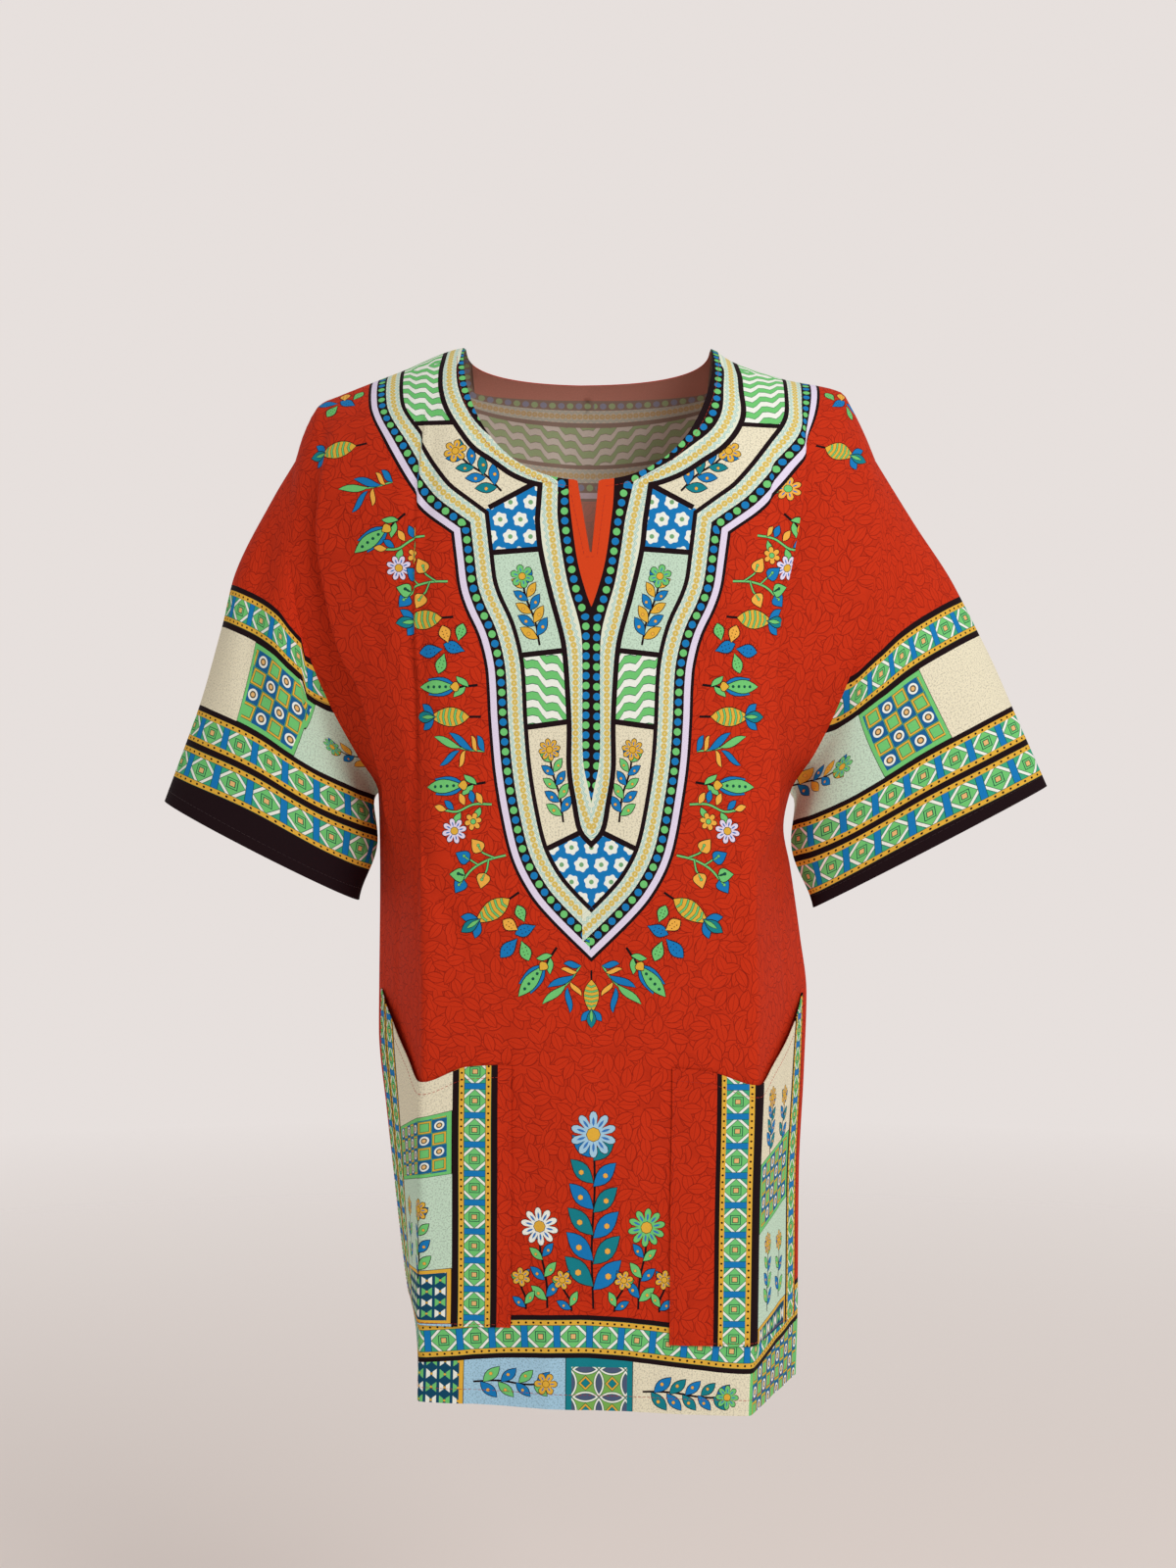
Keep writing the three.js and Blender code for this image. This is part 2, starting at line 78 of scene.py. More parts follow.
# Sizes of the cut and of the worn form
SHOWN_THICKNESS = 0.9
HALF_CUT = 250.0
CREASE_CUT = 125.0
HEM = -797.0
ARMPIT = -345.0
NECK_HALF = 95.0
NECK_DEPTH = 116.0
BACK_NECK_DEPTH = 18.0
SCOOP_POWER = 2.3
SLIT_HALF = 8.0
SLIT_BOTTOM = -169.0
SLIT_FOOT = 0.7  # half the slit's width at its foot
SLIT_LEAN = 2.0  # the foot leans to the wearer's left
ROLL_HEIGHT = 110.0
UPPER_FROM = -180.0
CENTRE_SOFT = 118.0
FOLD_SOFT = 4.0
HALF_GAP = 0.15
POCKET_LIFT = 0.4
POCKET_WALL = 1.3
SLEEVE_HALF = 205.0  # half way round a sleeve, laid flat
SLOPE_STEP = 0.4
NECK_STEPS = 40
GAUSS_X, GAUSS_W = np.polynomial.legendre.leggauss(12)
CLEAR_OF_LINES = 1.6  # loose points keep this far from the lines of the print
RIM_BULGE = 0.12
STEP_ACROSS = 5.5
STEP_ALONG = 6.0
# Where the press of a side's fold starts and ends, at its foot and at its top
FOLD_FOOT = (-402, -350)
FOLD_TOP = (-70, -15)
FOLD_RETURN = 9.0

SIDES = {
    "right": {
        "sign": -1,
        # z, crease x, crease y, seam x, seam y
        "rows": [
            (0, 119, -92, 227, -46), (-60, 122, -102, 229, -48), (-105, 124, -106, 230, -49),
            (-150, 125, -108, 228, -49), (-200, 125, -109, 222, -46), (-240, 124, -109, 212, -42),
            (-280, 123, -109, 196, -33), (-315, 122, -108, 178, -21), (ARMPIT, 122, -107, 163, 0),
            (-400, 122, -105, 162, 3), (-495, 122, -102, 163.5, 12), (-530, 122, -101, 164, 15),
            (-592, 123, -98, 158.5, 20), (-708, 124, -90, 146, 34), (HEM, 127, -80, 132, 42),
        ],
        "fold_cut": 200.0,
        "fold_behind": 8.0,
        # z, edge x, edge y, turned back by
        "fold_rows": [
            (-60, 196, -72, 0), (-105, 204, -70, 2), (-150, 206, -66, 5), (-200, 199, -66, 8),
            (-240, 189, -66, 9), (-270, 173, -70, 9), (-313, 163, -68, 9), (-345, 156, -62, 8),
            (-375, 155, -54, 5),
        ],
        # cut, x, z
        "shoulder_rows": [
            (0, 0, 8), (95, 95, 0), (150, 146, -19), (200, 193, -37), (215, 207, -43), (232, 219, -63),
            (HALF_CUT, 226.5, -86.4),
        ],
        "cuff_outer": (329, 0, -351), "cuff_inner": (178, 0, -428), "cuff_depth": 86.0,
        "bulge_rows": [(0, 0), (0.12, 6), (0.34, 12.5), (0.5, 7), (0.75, 1), (1, 0)],
        "hug": 8.0,
        # share round from, share along from, to, to, width, depth
        "sleeve_troughs": [
            (0.3, 0.16, 0.42, 0.62, 10, 6), (-0.4, 0.1, -0.52, 0.85, 16, 7), (-0.72, 0.05, -0.7, 0.6, 14, 6),
        ],
    },
    "left": {
        "sign": 1,
        "rows": [
            (0, 119, -94, 222, -46), (-60, 122, -104, 223, -48), (-105, 124, -108, 222, -50),
            (-150, 124, -110, 220, -50), (-200, 123, -112, 213, -49), (-240, 121, -113, 204, -46),
            (-280, 120, -113, 190, -37), (-315, 120, -113, 174, -23), (ARMPIT, 120, -113, 157, 0),
            (-372, 121, -112, 152, 0), (-401, 122, -111, 157, 0), (-457, 123, -110, 165, 0),
            (-500, 124, -110, 170, 0), (-559, 124, -110, 168, 0), (-641, 122, -112, 164, 0),
            (-748, 120, -117, 163, 0), (HEM, 118, -120, 161.5, 0),
        ],
        "fold_cut": 155.0,
        "fold_behind": 15.0,
        "fold_rows": [
            (-20, 177, -78, 2), (-60, 172, -84, 7), (-105, 165, -88, 11), (-170, 154, -93, 14),
            (-221, 144, -97, 15), (-265, 141, -99, 15), (-323, 143, -97, 14), (-345, 143, -94, 11),
            (-375, 144, -88, 5),
        ],
        "shoulder_rows": [
            (0, 0, 7), (95, 95, -1), (110, 109, -10), (150, 150, -24), (200, 196, -34), (215, 204, -46),
            (232, 215, -68), (HALF_CUT, 222.6, -86.4),
        ],
        "cuff_outer": (357, 0, -339.5), "cuff_inner": (175, 0, -434), "cuff_depth": 38.0,
        "bulge_rows": [(0, 0), (0.2, 4), (0.4, 9), (0.6, 8), (0.8, 4), (1, 0)],
        "hug": 9.0,
        "sleeve_troughs": [
            (0.16, 0.02, 0.14, 0.45, 10, 3.5), (-0.36, 0.1, -0.46, 0.8, 14, 5),
            (-0.7, 0.05, -0.68, 0.6, 12, 5),
        ],
    },
}
# z, front y, back y, softness of the crease, back crease x, back crease y
CENTRES = [
    (0, -98, 92, 40, 118, 84), (-116, -114, 108, 40, 124, 96), (-200, -120, 116, 36, 124, 102),
    (-300, -122, 120, 26, 120, 106), (-400, -120, 122, 10, 116, 110), (-550, -118, 128, 4, 116, 118),
    (-700, -115, 132, 4, 116, 122), (HEM, -112, 134, 4, 116, 124),
]
# from cut, from z, to cut, to z, width, depth
FRONT_TROUGHS = [
    (-116, -70, -132, -330, 9, 3.2), (-132, -330, -122, -400, 9, 2.4), (60, -560, 30, -797, 30, 4),
    (-40, -600, -70, -797, 26, 4), (-20, -300, 10, -520, 34, 2.5),
]
BACK_TROUGHS = [
    (-60, -330, -74, -797, 34, 8), (52, -360, 66, -797, 32, 7), (-6, -470, -2, -797, 30, 6),
    (-150, -150, -96, -420, 24, 6), (150, -150, 100, -430, 26, 7),
]
# Finer folds than the form's own, in the same columns; below 0 is a ridge
FRONT_WRINKLES = [
    (-182, -140, -142, -300, 7, 1.5), (-152, -330, -90, -470, 8, 2.0), (-142, -350, -130, -540, 6, 1.5),
    (168, -140, 150, -300, 7, 1.4), (147, -330, 94, -490, 8, 2.0), (139, -360, 128, -540, 6, 1.3),
    (-66, -500, -58, -640, 9, 1.2), (72, -480, 62, -600, 8, 1.1), (20, -480, 6, -640, 10, 1.1),
    (-10, -640, 2, -797, 9, 1.5), (-112, -30, -152, -130, 8, 1.5), (114, -30, 152, -130, 8, 1.4),
    (-42, -140, -62, -250, 9, 0.8), (46, -150, 62, -240, 9, 0.8), (-34, -560, -30, -797, 5, -0.8),
    (36, -600, 40, -797, 5, -0.9), (-188, -420, -204, -797, 10, 2.2), (196, -420, 188, -797, 10, 2.2),
    (-226, -500, -218, -797, 9, 1.6), (224, -480, 230, -797, 9, 1.6), (-90, -640, -84, -797, 6, 0.9),
    (92, -640, 86, -797, 6, 0.8), (-205, -60, -232, -150, 9, 1.6), (206, -60, 232, -140, 9, 1.6),
]
BACK_WRINKLES = [
    (-180, -120, -120, -330, 10, 2.4), (176, -110, 118, -340, 11, 2.2), (-40, -40, -10, -160, 12, 1.6),
    (44, -46, 20, -170, 11, 1.4), (-110, -380, -128, -797, 9, 2.0), (116, -400, 130, -797, 9, 2.2),
    (-30, -330, -44, -797, 8, -1.2), (24, -420, 34, -797, 9, -1.2), (-190, -400, -200, -797, 10, 2.0),
    (194, -420, 186, -797, 9, 1.8), (-86, -250, -40, -430, 8, 1.2), (80, -240, 36, -420, 8, 1.3),
]
# Knife folds: depth, fade past the edge, and the strip in which the print is squeezed
TUCK_DEPTH = 3.0
TUCK_FADE = 26.0
TUCK_SOFT = 0.6
# The right sleeve's soft tuck: place round it, depth, fade, rises between which it starts, print's shift
SLEEVE_TUCK = 138.0
SLEEVE_TUCK_DEPTH = 2.0
SLEEVE_TUCK_FADE = 30.0
SLEEVE_TUCK_SOFT = 0.8
SLEEVE_TUCK_RISES = (95, 150)
SLEEVE_TUCK_SHIFT = 11.0
# A sleeve's form: the slope of its bulge, how far it leaves the body, and how far it leans forward
BULGE_SLOPE = 0.38
ARM_GAP = 3.0
ARM_GAP_FADE = 0.03
SLEEVE_LEAN = 6.0
# Stitches
NECK_MARGIN = 5.0
SLIT_MARGIN = 4.5
SLIT_FOOT_MARGIN = 3.5
SLIT_SEAM_TOP = -126
POCKET_MARGIN = 2.0
MOUTH_HEM = 9.0
STITCH_LENGTH = 2.4
STITCH_PITCH = 3.5
STITCH_HALF = 0.2
STITCH_SUNK = 0.05
STITCH_HEIGHT = 0.3
STITCH_TAPER = 0.4
HEM_SEAM = [(-246, HEM + 11), (246, HEM + 11)]
CUFF_SEAM = [(-202, 9), (202, 9)]
# The armhole's rows below the shoulder's roll, and the number of rows above
ARMHOLE_ROWS = [UPPER_FROM, -210, -240, -270, -296, -316, -333, ARMPIT]
UPPER_ROWS = 10

# Patch pockets: inner and outer edge on the flat cut, bottom, and the mouth's height along it
POCKETS = {
    "right": {
        "inner": 57.0, "outer": 238.0, "bottom": -738.0, "gape": 3.5,
        "mouth": [(57, -543), (90, -545), (CREASE_CUT, -557), (155, -540), (200, -514), (238, -497)],
    },
    "left": {
        "inner": 62.0, "outer": 235.0, "bottom": -747.0, "gape": 3.5,
        "mouth": [(62, -545), (90, -548), (CREASE_CUT, -558), (155, -545), (200, -522), (235, -499)],
    },
}


def smooth_step(low, high, x):
    t = np.clip((x - low) / (high - low), 0.0, 1.0)
    return t * t * (3 - 2 * t)


def curve(rows, column):
    """A smooth curve through the rows of a table, with no overshoot."""
    ordered = sorted(rows, key=lambda row: row[0])
    xs = np.array([row[0] for row in ordered], float)
    ys = np.array([row[column] for row in ordered], float)
    steps = np.diff(ys) / np.diff(xs)
    slopes = np.empty_like(ys)
    slopes[0], slopes[-1] = steps[0], steps[-1]
    product = steps[:-1] * steps[1:]
    total = steps[:-1] + steps[1:]
    slopes[1:-1] = np.where(product > 0, 2 * product / np.where(total == 0, 1, total), 0)

    def at(x):
        x = np.clip(np.asarray(x, float), xs[0], xs[-1])
        i = np.clip(np.searchsorted(xs, x, side="right") - 1, 0, len(xs) - 2)
        width = xs[i + 1] - xs[i]
        t = (x - xs[i]) / width
        back = 1 - t
        return (
            back * back * (1 + 2 * t) * ys[i]
            + t * t * (3 - 2 * t) * ys[i + 1]
            + t * back * width * (back * slopes[i] - t * slopes[i + 1])
        )

    return at


def curves(rows, names):
    return {name: curve(rows, k + 1) for k, name in enumerate(names)}


CENTRE = curves(CENTRES, ["front", "back", "soft", "back_x", "back_y"])
for side in SIDES.values():
    side["at"] = curves(side["rows"], ["cx", "cy", "sx", "sy"])
    side["fold"] = curves(side["fold_rows"], ["x", "y", "back"])
    side["top"] = curves(side["shoulder_rows"], ["x", "z"])
    side["bulge"] = curve(side["bulge_rows"], 1)


def ramp(x, soft):
    soft = np.maximum(soft, 1e-9)
    return np.where(x <= -soft, 0.0, np.where(x >= soft, x, (x + soft) ** 2 / (4 * soft)))


def front_stations(side, z):
    at = side["at"]
    crease = (at["cx"](z), at["cy"](z))
    seam = (at["sx"](z), at["sy"](z))
    folded = smooth_step(*FOLD_FOOT, z) * (1 - smooth_step(*FOLD_TOP, z))

    def mixed(cut, fold):
        t = (cut - CREASE_CUT) / (HALF_CUT - CREASE_CUT)
        flat = [c + (s - c) * t for c, s in zip(crease, seam)]
        return [a + (b - a) * folded for a, b in zip(flat, fold)]

    fold = side["fold"]
    edge = (fold["x"](z), fold["y"](z))
    behind = (edge[0] - fold["back"](z), edge[1] + FOLD_RETURN)
    behind_cut = side["fold_cut"] + side["fold_behind"]
    return [
        (CREASE_CUT, *crease, CENTRE["soft"](z)),
        (side["fold_cut"], *mixed(side["fold_cut"], edge), FOLD_SOFT),
        (behind_cut, *mixed(behind_cut, behind), FOLD_SOFT),
        (HALF_CUT, *seam, 0.0),
    ]


def back_stations(side, z):
    seam_y = side["at"]["sy"](z)
    return [
        (CREASE_CUT, CENTRE["back_x"](z), CENTRE["back_y"](z), 3 * CENTRE["soft"](z)),
        (HALF_CUT, side["at"]["sx"](z), np.where(z > ARMPIT, np.abs(seam_y), seam_y), 0.0),
    ]


def section_point(stations, centre_y, other_crease_y, cut):
    """A point of a level section: straight runs with rounded bends, from the centre line to the seam."""
    run = [(0.0, 0.0, centre_y, CENTRE_SOFT)] + stations
    slopes = []
    for before, after in zip(run[:-1], run[1:]):
        span = after[0] - before[0]
        slopes.append([(after[k] - before[k]) / span for k in (1, 2)])
    other = (other_crease_y - centre_y) / CREASE_CUT
    x = slopes[0][0] * cut
    y = centre_y + slopes[0][1] * cut + (slopes[0][1] + other) * ramp(-cut, CENTRE_SOFT)
    for i in range(1, len(run) - 1):
        rise = ramp(cut - run[i][0], np.minimum(run[i][3], HALF_CUT - run[i][0]))
        x = x + (slopes[i][0] - slopes[i - 1][0]) * rise
        y = y + (slopes[i][1] - slopes[i - 1][1]) * rise
    return x, y


def trough_depth(folds, cut, z):
    """How deep the soft folds are at a place on the flat cut."""
    depth = np.zeros(np.broadcast(cut, z).shape)
    for cut0, z0, cut1, z1, width, deep in folds:
        dc, dz = cut1 - cut0, z1 - z0
        t = np.clip(((cut - cut0) * dc + (z - z0) * dz) / (dc * dc + dz * dz), -0.2, 1.2)
        off = np.hypot(cut - cut0 - t * dc, z - z0 - t * dz)
        ends = smooth_step(-0.2, 0.15, t) * (1 - smooth_step(0.85, 1.2, t) * (1.0 if z1 > HEM else 0.0))
        depth = depth + deep * ends * np.exp(-((off / width) ** 2))
    return depth


def side_point(side, other, cut, z, front, folds):
    """cut is signed, and only the points on this side are right."""
    across = np.abs(cut)
    if front:
        x, y = section_point(front_stations(side, z), CENTRE["front"](z), other["at"]["cy"](z), across)
    else:
        x, y = section_point(back_stations(side, z), CENTRE["back"](z), CENTRE["back_y"](z), across)
    share = np.clip((side["top"]["z"](across) - z) / ROLL_HEIGHT, 0, 1)
    forward = np.sqrt(share * (2 - share))
    level = smooth_step(0, 1, share)
    sunk = trough_depth(folds, cut, z) * forward * (1 if front else -1)
    top_x = side["top"]["x"](across)
    height = np.broadcast_to(z, np.broadcast(cut, z).shape)
    out = -HALF_GAP if front else HALF_GAP
    return np.stack([side["sign"] * (top_x + (x - top_x) * level), y * forward + sunk + out, height], -1)


def panel_at_height(cut, z, front, folds):
    cut, z = np.broadcast_arrays(np.asarray(cut, float), np.asarray(z, float))
    right = side_point(SIDES["right"], SIDES["left"], cut, z, front, folds)
    left = side_point(SIDES["left"], SIDES["right"], cut, z, front, folds)
    return np.where((cut < 0)[..., None], right, left)


def shoulder_z(cut):
    across = np.abs(cut)
    return np.where(cut < 0, SIDES["right"]["top"]["z"](across), SIDES["left"]["top"]["z"](across))


def roll_depth(cut, front):
    return np.abs(panel_at_height(cut, shoulder_z(cut) - ROLL_HEIGHT, front, [])[..., 1])


def rolled_length(angle, depth):
    """Length of the roll over the shoulder from an angle to its base, a quarter of an ellipse."""
    half = (math.pi / 2 - angle) / 2
    total = 0
    for place, weight in zip(GAUSS_X, GAUSS_W):
        a = angle + half * (1 + place)
        total = total + weight * np.hypot(ROLL_HEIGHT * np.sin(a), depth * np.cos(a))
    return total * half


def height_on(cut, rise, front):
    """Height of a place on the cloth. Below the shoulder's roll it is the rise itself."""
    cut, rise = np.broadcast_arrays(np.asarray(cut, float), np.asarray(rise, float))
    base = shoulder_z(cut) - ROLL_HEIGHT
    depth = roll_depth(cut, front)
    whole = rolled_length(np.zeros_like(cut), depth)
    up = np.clip(rise - base, 0, whole)
    angle = math.pi / 2 * (1 - up / whole)
    for _ in range(8):
        speed = np.hypot(ROLL_HEIGHT * np.sin(angle), depth * np.cos(angle))
        angle = np.clip(angle + (rolled_length(angle, depth) - up) / speed, 0, math.pi / 2)
    return np.where(rise <= base, rise, base + ROLL_HEIGHT * np.cos(angle))


def rise_of(cut, z, front):
    cut = np.asarray(cut, float)
    base = shoulder_z(cut) - ROLL_HEIGHT
    angle = np.arccos(np.clip((z - base) / ROLL_HEIGHT, 0, 1))
    return np.where(z <= base, z, base + rolled_length(angle, roll_depth(cut, front)))


def tuck_of(cut, rise):
    """Where the knife fold of this side lies on the cut, and how wide a strip it hides."""
    right, left = SIDES["right"]["tuck"], SIDES["left"]["tuck"]
    place = np.where(cut < 0, right["place"](rise), left["place"](rise))
    width = np.where(cut < 0, right["width"](rise), left["width"](rise))
    return place, width


def front_point(flat):
    cut, rise = flat[:, 0], flat[:, 1]
    point = panel_at_height(cut, height_on(cut, rise, True), True, FRONT_TROUGHS + FRONT_WRINKLES)
    place, width = tuck_of(cut, rise)
    past = np.abs(cut) - place
    under = TUCK_DEPTH * smooth_step(-0.7, 0.7, past) * (1 - smooth_step(0, TUCK_FADE, past))
    lip = 0.5 * np.exp(-(((past + 1.5) / 2.5) ** 2))
    point[:, 1] += np.clip(width / 10, 0, 1) * (under - lip)
    return point


def back_point(flat):
    cut, rise = flat[:, 0], flat[:, 1]
    return panel_at_height(cut, height_on(cut, rise, False), False, BACK_TROUGHS + BACK_WRINKLES)


def armhole_z(turn):
    """Height along the armhole's edge, from the shoulder at 0 to the armpit at 1."""
    top = float(shoulder_z(np.float64(-HALF_CUT)))
    rows = [top + (UPPER_FROM - top) * (k / UPPER_ROWS) ** 2 for k in range(UPPER_ROWS)] + ARMHOLE_ROWS
    return np.interp(turn, np.linspace(0, 1, len(rows)), rows)


def sleeve_ends(side, around):
    """Ends of the straight line along a sleeve at a share of the way round: 0 on top, -1 and 1 beneath."""
    sign = side["sign"]
    angle = np.pi * around
    z = armhole_z(np.abs(around))
    cut = np.full_like(around, sign * HALF_CUT)
    start = np.where(
        (around >= 0)[:, None],
        panel_at_height(cut, z, True, FRONT_TROUGHS),
        panel_at_height(cut, z, False, BACK_TROUGHS),
    )
    outer = np.array(side["cuff_outer"], float) * (sign, 1, 1)
    inner = np.array(side["cuff_inner"], float) * (sign, 1, 1)
    end = (outer + inner) / 2 + (outer - inner) / 2 * np.cos(angle)[:, None]
    end[:, 1] -= side["cuff_depth"] / 2 * np.sin(angle)
    return start, end


def sleeve_length(side, flat_around):
    start, end = sleeve_ends(side, np.asarray(flat_around, float) / SLEEVE_HALF)
    return np.linalg.norm(start - end, axis=1)


def sleeve_point(side, flat):
    """flat is the distance round from the top fold, and the distance up from the cuff."""
    sign = side["sign"]
    around = flat[:, 0] / SLEEVE_HALF
    start, end = sleeve_ends(side, around)
    t = 1 - flat[:, 1] / np.linalg.norm(start - end, axis=1)
    angle = np.pi * around
    under = np.maximum(0, -np.cos(angle)) ** 2
    over = np.maximum(0, np.cos(angle))
    outward = np.array([sign, 0, BULGE_SLOPE]) / math.hypot(1, BULGE_SLOPE)
    point = start + (end - start) * t[:, None] + outward * (side["bulge"](t) * over)[:, None]
    away = ARM_GAP * (1 - np.exp(-np.maximum(t, 0) / ARM_GAP_FADE)) * (1 - t)
    point[:, 0] += sign * (away - side["hug"] * np.sin(np.pi * t) ** 2) * under
    folds = [(a, b, c, d, width / 100, depth) for a, b, c, d, width, depth in side["sleeve_troughs"]]
    sunk = trough_depth(folds, around, t)
    point[:, 1] += np.sin(angle) * sunk
    point[:, 1] -= SLEEVE_LEAN * np.sin(angle) * np.sin(np.pi * t)
    if sign < 0:
        past = flat[:, 0] - SLEEVE_TUCK
        under = smooth_step(-SLEEVE_TUCK_SOFT, SLEEVE_TUCK_SOFT, past)
        under = under * (1 - smooth_step(0, SLEEVE_TUCK_FADE, past))
        under = under * smooth_step(*SLEEVE_TUCK_RISES, flat[:, 1])
        point[:, 1] += SLEEVE_TUCK_DEPTH * under * (1 - smooth_step(0.0, 0.5, -t + 0.5))
    return point


def normals_of(place, flat, facing):
    """The cloth's normals, out of its face, from the slopes across and up it."""
    across = place(flat + (SLOPE_STEP, 0)) - place(flat - (SLOPE_STEP, 0))
    upward = place(flat + (0, SLOPE_STEP)) - place(flat - (0, SLOPE_STEP))
    normal = np.cross(across, upward) * facing
    return normal / np.linalg.norm(normal, axis=1)[:, None]


def pocket_point(side, pocket, flat):
    """A place on a pocket, lifted off the front, with its mouth gaping a little."""
    mouth = curve(pocket["mouth"], 1)
    cut, rise = flat[:, 0], flat[:, 1]
    share = np.clip((rise - pocket["bottom"]) / (mouth(np.abs(cut)) - pocket["bottom"]), 0, 1)
    t = np.clip((np.abs(cut) - pocket["inner"]) / (pocket["outer"] - pocket["inner"]), 0, 1)
    gape = pocket["gape"] * np.sin(np.pi * t**2.2) * share**4
    lift = POCKET_LIFT + POCKET_WALL + gape
    return front_point(flat) + normals_of(front_point, flat, 1) * lift[:, None]


def sleeve_place(side):
    return lambda flat: sleeve_point(side, flat)


def pocket_place(side, pocket):
    return lambda flat: pocket_point(side, pocket, flat)


# Helpers for outlines on the flat cloth


def spaced(points, step=4.0, closed=False):
    """The same line with points no further apart than the step."""
    points = np.asarray(points, float)
    following = np.roll(points, -1, axis=0) if closed else points[1:]
    out = []
    for a, b in zip(points if closed else points[:-1], following):
        count = max(1, math.ceil(np.linalg.norm(b - a) / step))
        out.extend(a + (b - a) * (k / count) for k in range(count))
    if not closed:
        out.append(points[-1])
    return np.array(out)


def rounded(points, step=3.0):
    """A smooth line through a few points."""
    points = np.asarray(points, float)
    ends = [2 * points[0] - points[1]], [2 * points[-1] - points[-2]]
    run = np.concatenate([ends[0], points, ends[1]])
    out = []
    for before, a, b, after in zip(run[:-3], run[1:-2], run[2:-1], run[3:]):
        count = max(1, math.ceil(np.linalg.norm(b - a) / step))
        for k in range(count):
            t = k / count
            out.append(
                0.5 * (2 * a + (b - before) * t + (2 * before - 5 * a + 4 * b - after) * t**2
                       + (3 * a - before - 3 * b + after) * t**3)
            )
    out.append(points[-1])
    return np.array(out)


def inset(points, distance):
    """A line moved to its left by a distance, with its corners mitred."""
    points = np.asarray(points, float)
    step = np.diff(points, axis=0)
    step /= np.linalg.norm(step, axis=1)[:, None]
    left = np.stack([-step[:, 1], step[:, 0]], 1)
    before = np.concatenate([left[:1], left])
    after = np.concatenate([left, left[-1:]])
    total = before + after
    return points + total * (distance * 2 / (total**2).sum(1))[:, None]


def inside(polygon, points):
    """Which points lie in a closed outline."""
    found = np.zeros(len(points), bool)
    low, high = polygon.min(0), polygon.max(0)
    near = np.nonzero(((points >= low) & (points <= high)).all(1))[0]
    if not len(near):
        return found
    x, y = points[near, 0], points[near, 1]
    crossings = np.zeros(len(near), int)
    for (ax, ay), (bx, by) in zip(polygon, np.roll(polygon, -1, axis=0)):
        if ay == by:
            continue
        hit = (ay > y) != (by > y)
        crossings += hit & (x < (bx - ax) * (y - ay) / (by - ay) + ax)
    found[near] = crossings % 2 == 1
    return found


def along(paths):
    """Coordinates for a band: the distance along the nearest line, and the distance off it to its left."""
    starts, steps, lengths = [], [], []
    for path in paths:
        path = np.asarray(path, float)
        step = np.diff(path, axis=0)
        length = np.linalg.norm(step, axis=1)
        starts.append(path[:-1])
        steps.append(step / length[:, None])
        lengths.append(np.stack([length, np.concatenate([[0], np.cumsum(length)[:-1]])], 1))
    starts, steps, lengths = (np.concatenate(x) for x in (starts, steps, lengths))

    def coordinates(points):
        out = np.empty_like(points)
        for k in range(0, len(points), 2000):
            offset = points[k : k + 2000, None] - starts[None]
            run = np.clip((offset * steps).sum(2), 0, lengths[:, 0])
            far = np.linalg.norm(offset - run[..., None] * steps, axis=2)
            best = far.argmin(1)
            rows = np.arange(len(best))
            side_of = steps[best, 0] * offset[rows, best, 1] - steps[best, 1] * offset[rows, best, 0]
            out[k : k + 2000, 0] = run[rows, best] + lengths[best, 1]
            out[k : k + 2000, 1] = np.sign(side_of) * far[rows, best]
        return out

    return coordinates


class Print:
    """A print on flat cloth: coloured outlines, later ones over earlier ones.

    worn takes a place on the print to the cloth, and printed takes it back.
    """

    def __init__(self, worn=None, printed=None):
        self.regions = []
        self.lines = []
        self.worn = worn or (lambda points: points)
        self.printed = printed or (lambda points: points)

    def add(self, style, outline, tint=None, frame=None, within=None, as_worn=False):
        """Lays an outline in a style's material.

        frame gives the coordinates of its pattern, and within is an outline that holds it on the cloth.
        """
        outline = np.asarray(outline, float)
        tint = tint or NO_TINT
        follow = frame or (lambda points: points)
        if as_worn:
            self.regions.append((style, outline, tint, follow, within))
            return
        self.regions.append((style, self.worn(outline), tint, lambda p: follow(self.printed(p)), within))

    def line(self, points):
        """A line on the cloth that the triangles follow."""
        self.lines.append(points)


# Cloth: a triangulated flat piece, put in place, with a reverse side and a turned rim


def triangulate(boundary, art, grid):
    """Flat points and triangles that follow the boundary and every outline of the print."""
    points, edges = [], []
    for outline in [boundary] + [region[1] for region in art.regions]:
        first = len(points)
        count = len(outline)
        points.extend(outline)
        edges.extend((first + k, first + (k + 1) % count) for k in range(count))
    for line in art.lines:
        first = len(points)
        points.extend(line)
        edges.extend((first + k, first + k + 1) for k in range(len(line) - 1))
    tree = kdtree.KDTree(len(points))
    for k, point in enumerate(points):
        tree.insert((*point, 0), k)
    tree.balance()
    points.extend(point for point in grid if tree.find((*point, 0))[2] > CLEAR_OF_LINES)
    found = delaunay_2d_cdt([Vector(point) for point in points], edges, [], 0, 1e-3, False)
    flat = np.array([tuple(point) for point in found[0]])
    triangles = np.array(found[2])
    triangles = triangles[inside(boundary, flat[triangles].mean(1))]
    a, b, c = (flat[triangles[:, k]] for k in range(3))
    area = (b[:, 0] - a[:, 0]) * (c[:, 1] - a[:, 1]) - (b[:, 1] - a[:, 1]) * (c[:, 0] - a[:, 0])
    triangles[area < 0] = triangles[area < 0][:, ::-1]
    used, renamed = np.unique(triangles, return_inverse=True)
    return flat[used], renamed.reshape(-1, 3)


def rim_edges(triangles):
    """Edges with a triangle on one side only, in the direction of that triangle."""
    edges = np.concatenate([triangles[:, [0, 1]], triangles[:, [1, 2]], triangles[:, [2, 0]]])
    keys = {}
    for a, b in edges.tolist():
        keys[(a, b)] = True
    return np.array([edge for edge in keys if edge[::-1] not in keys])


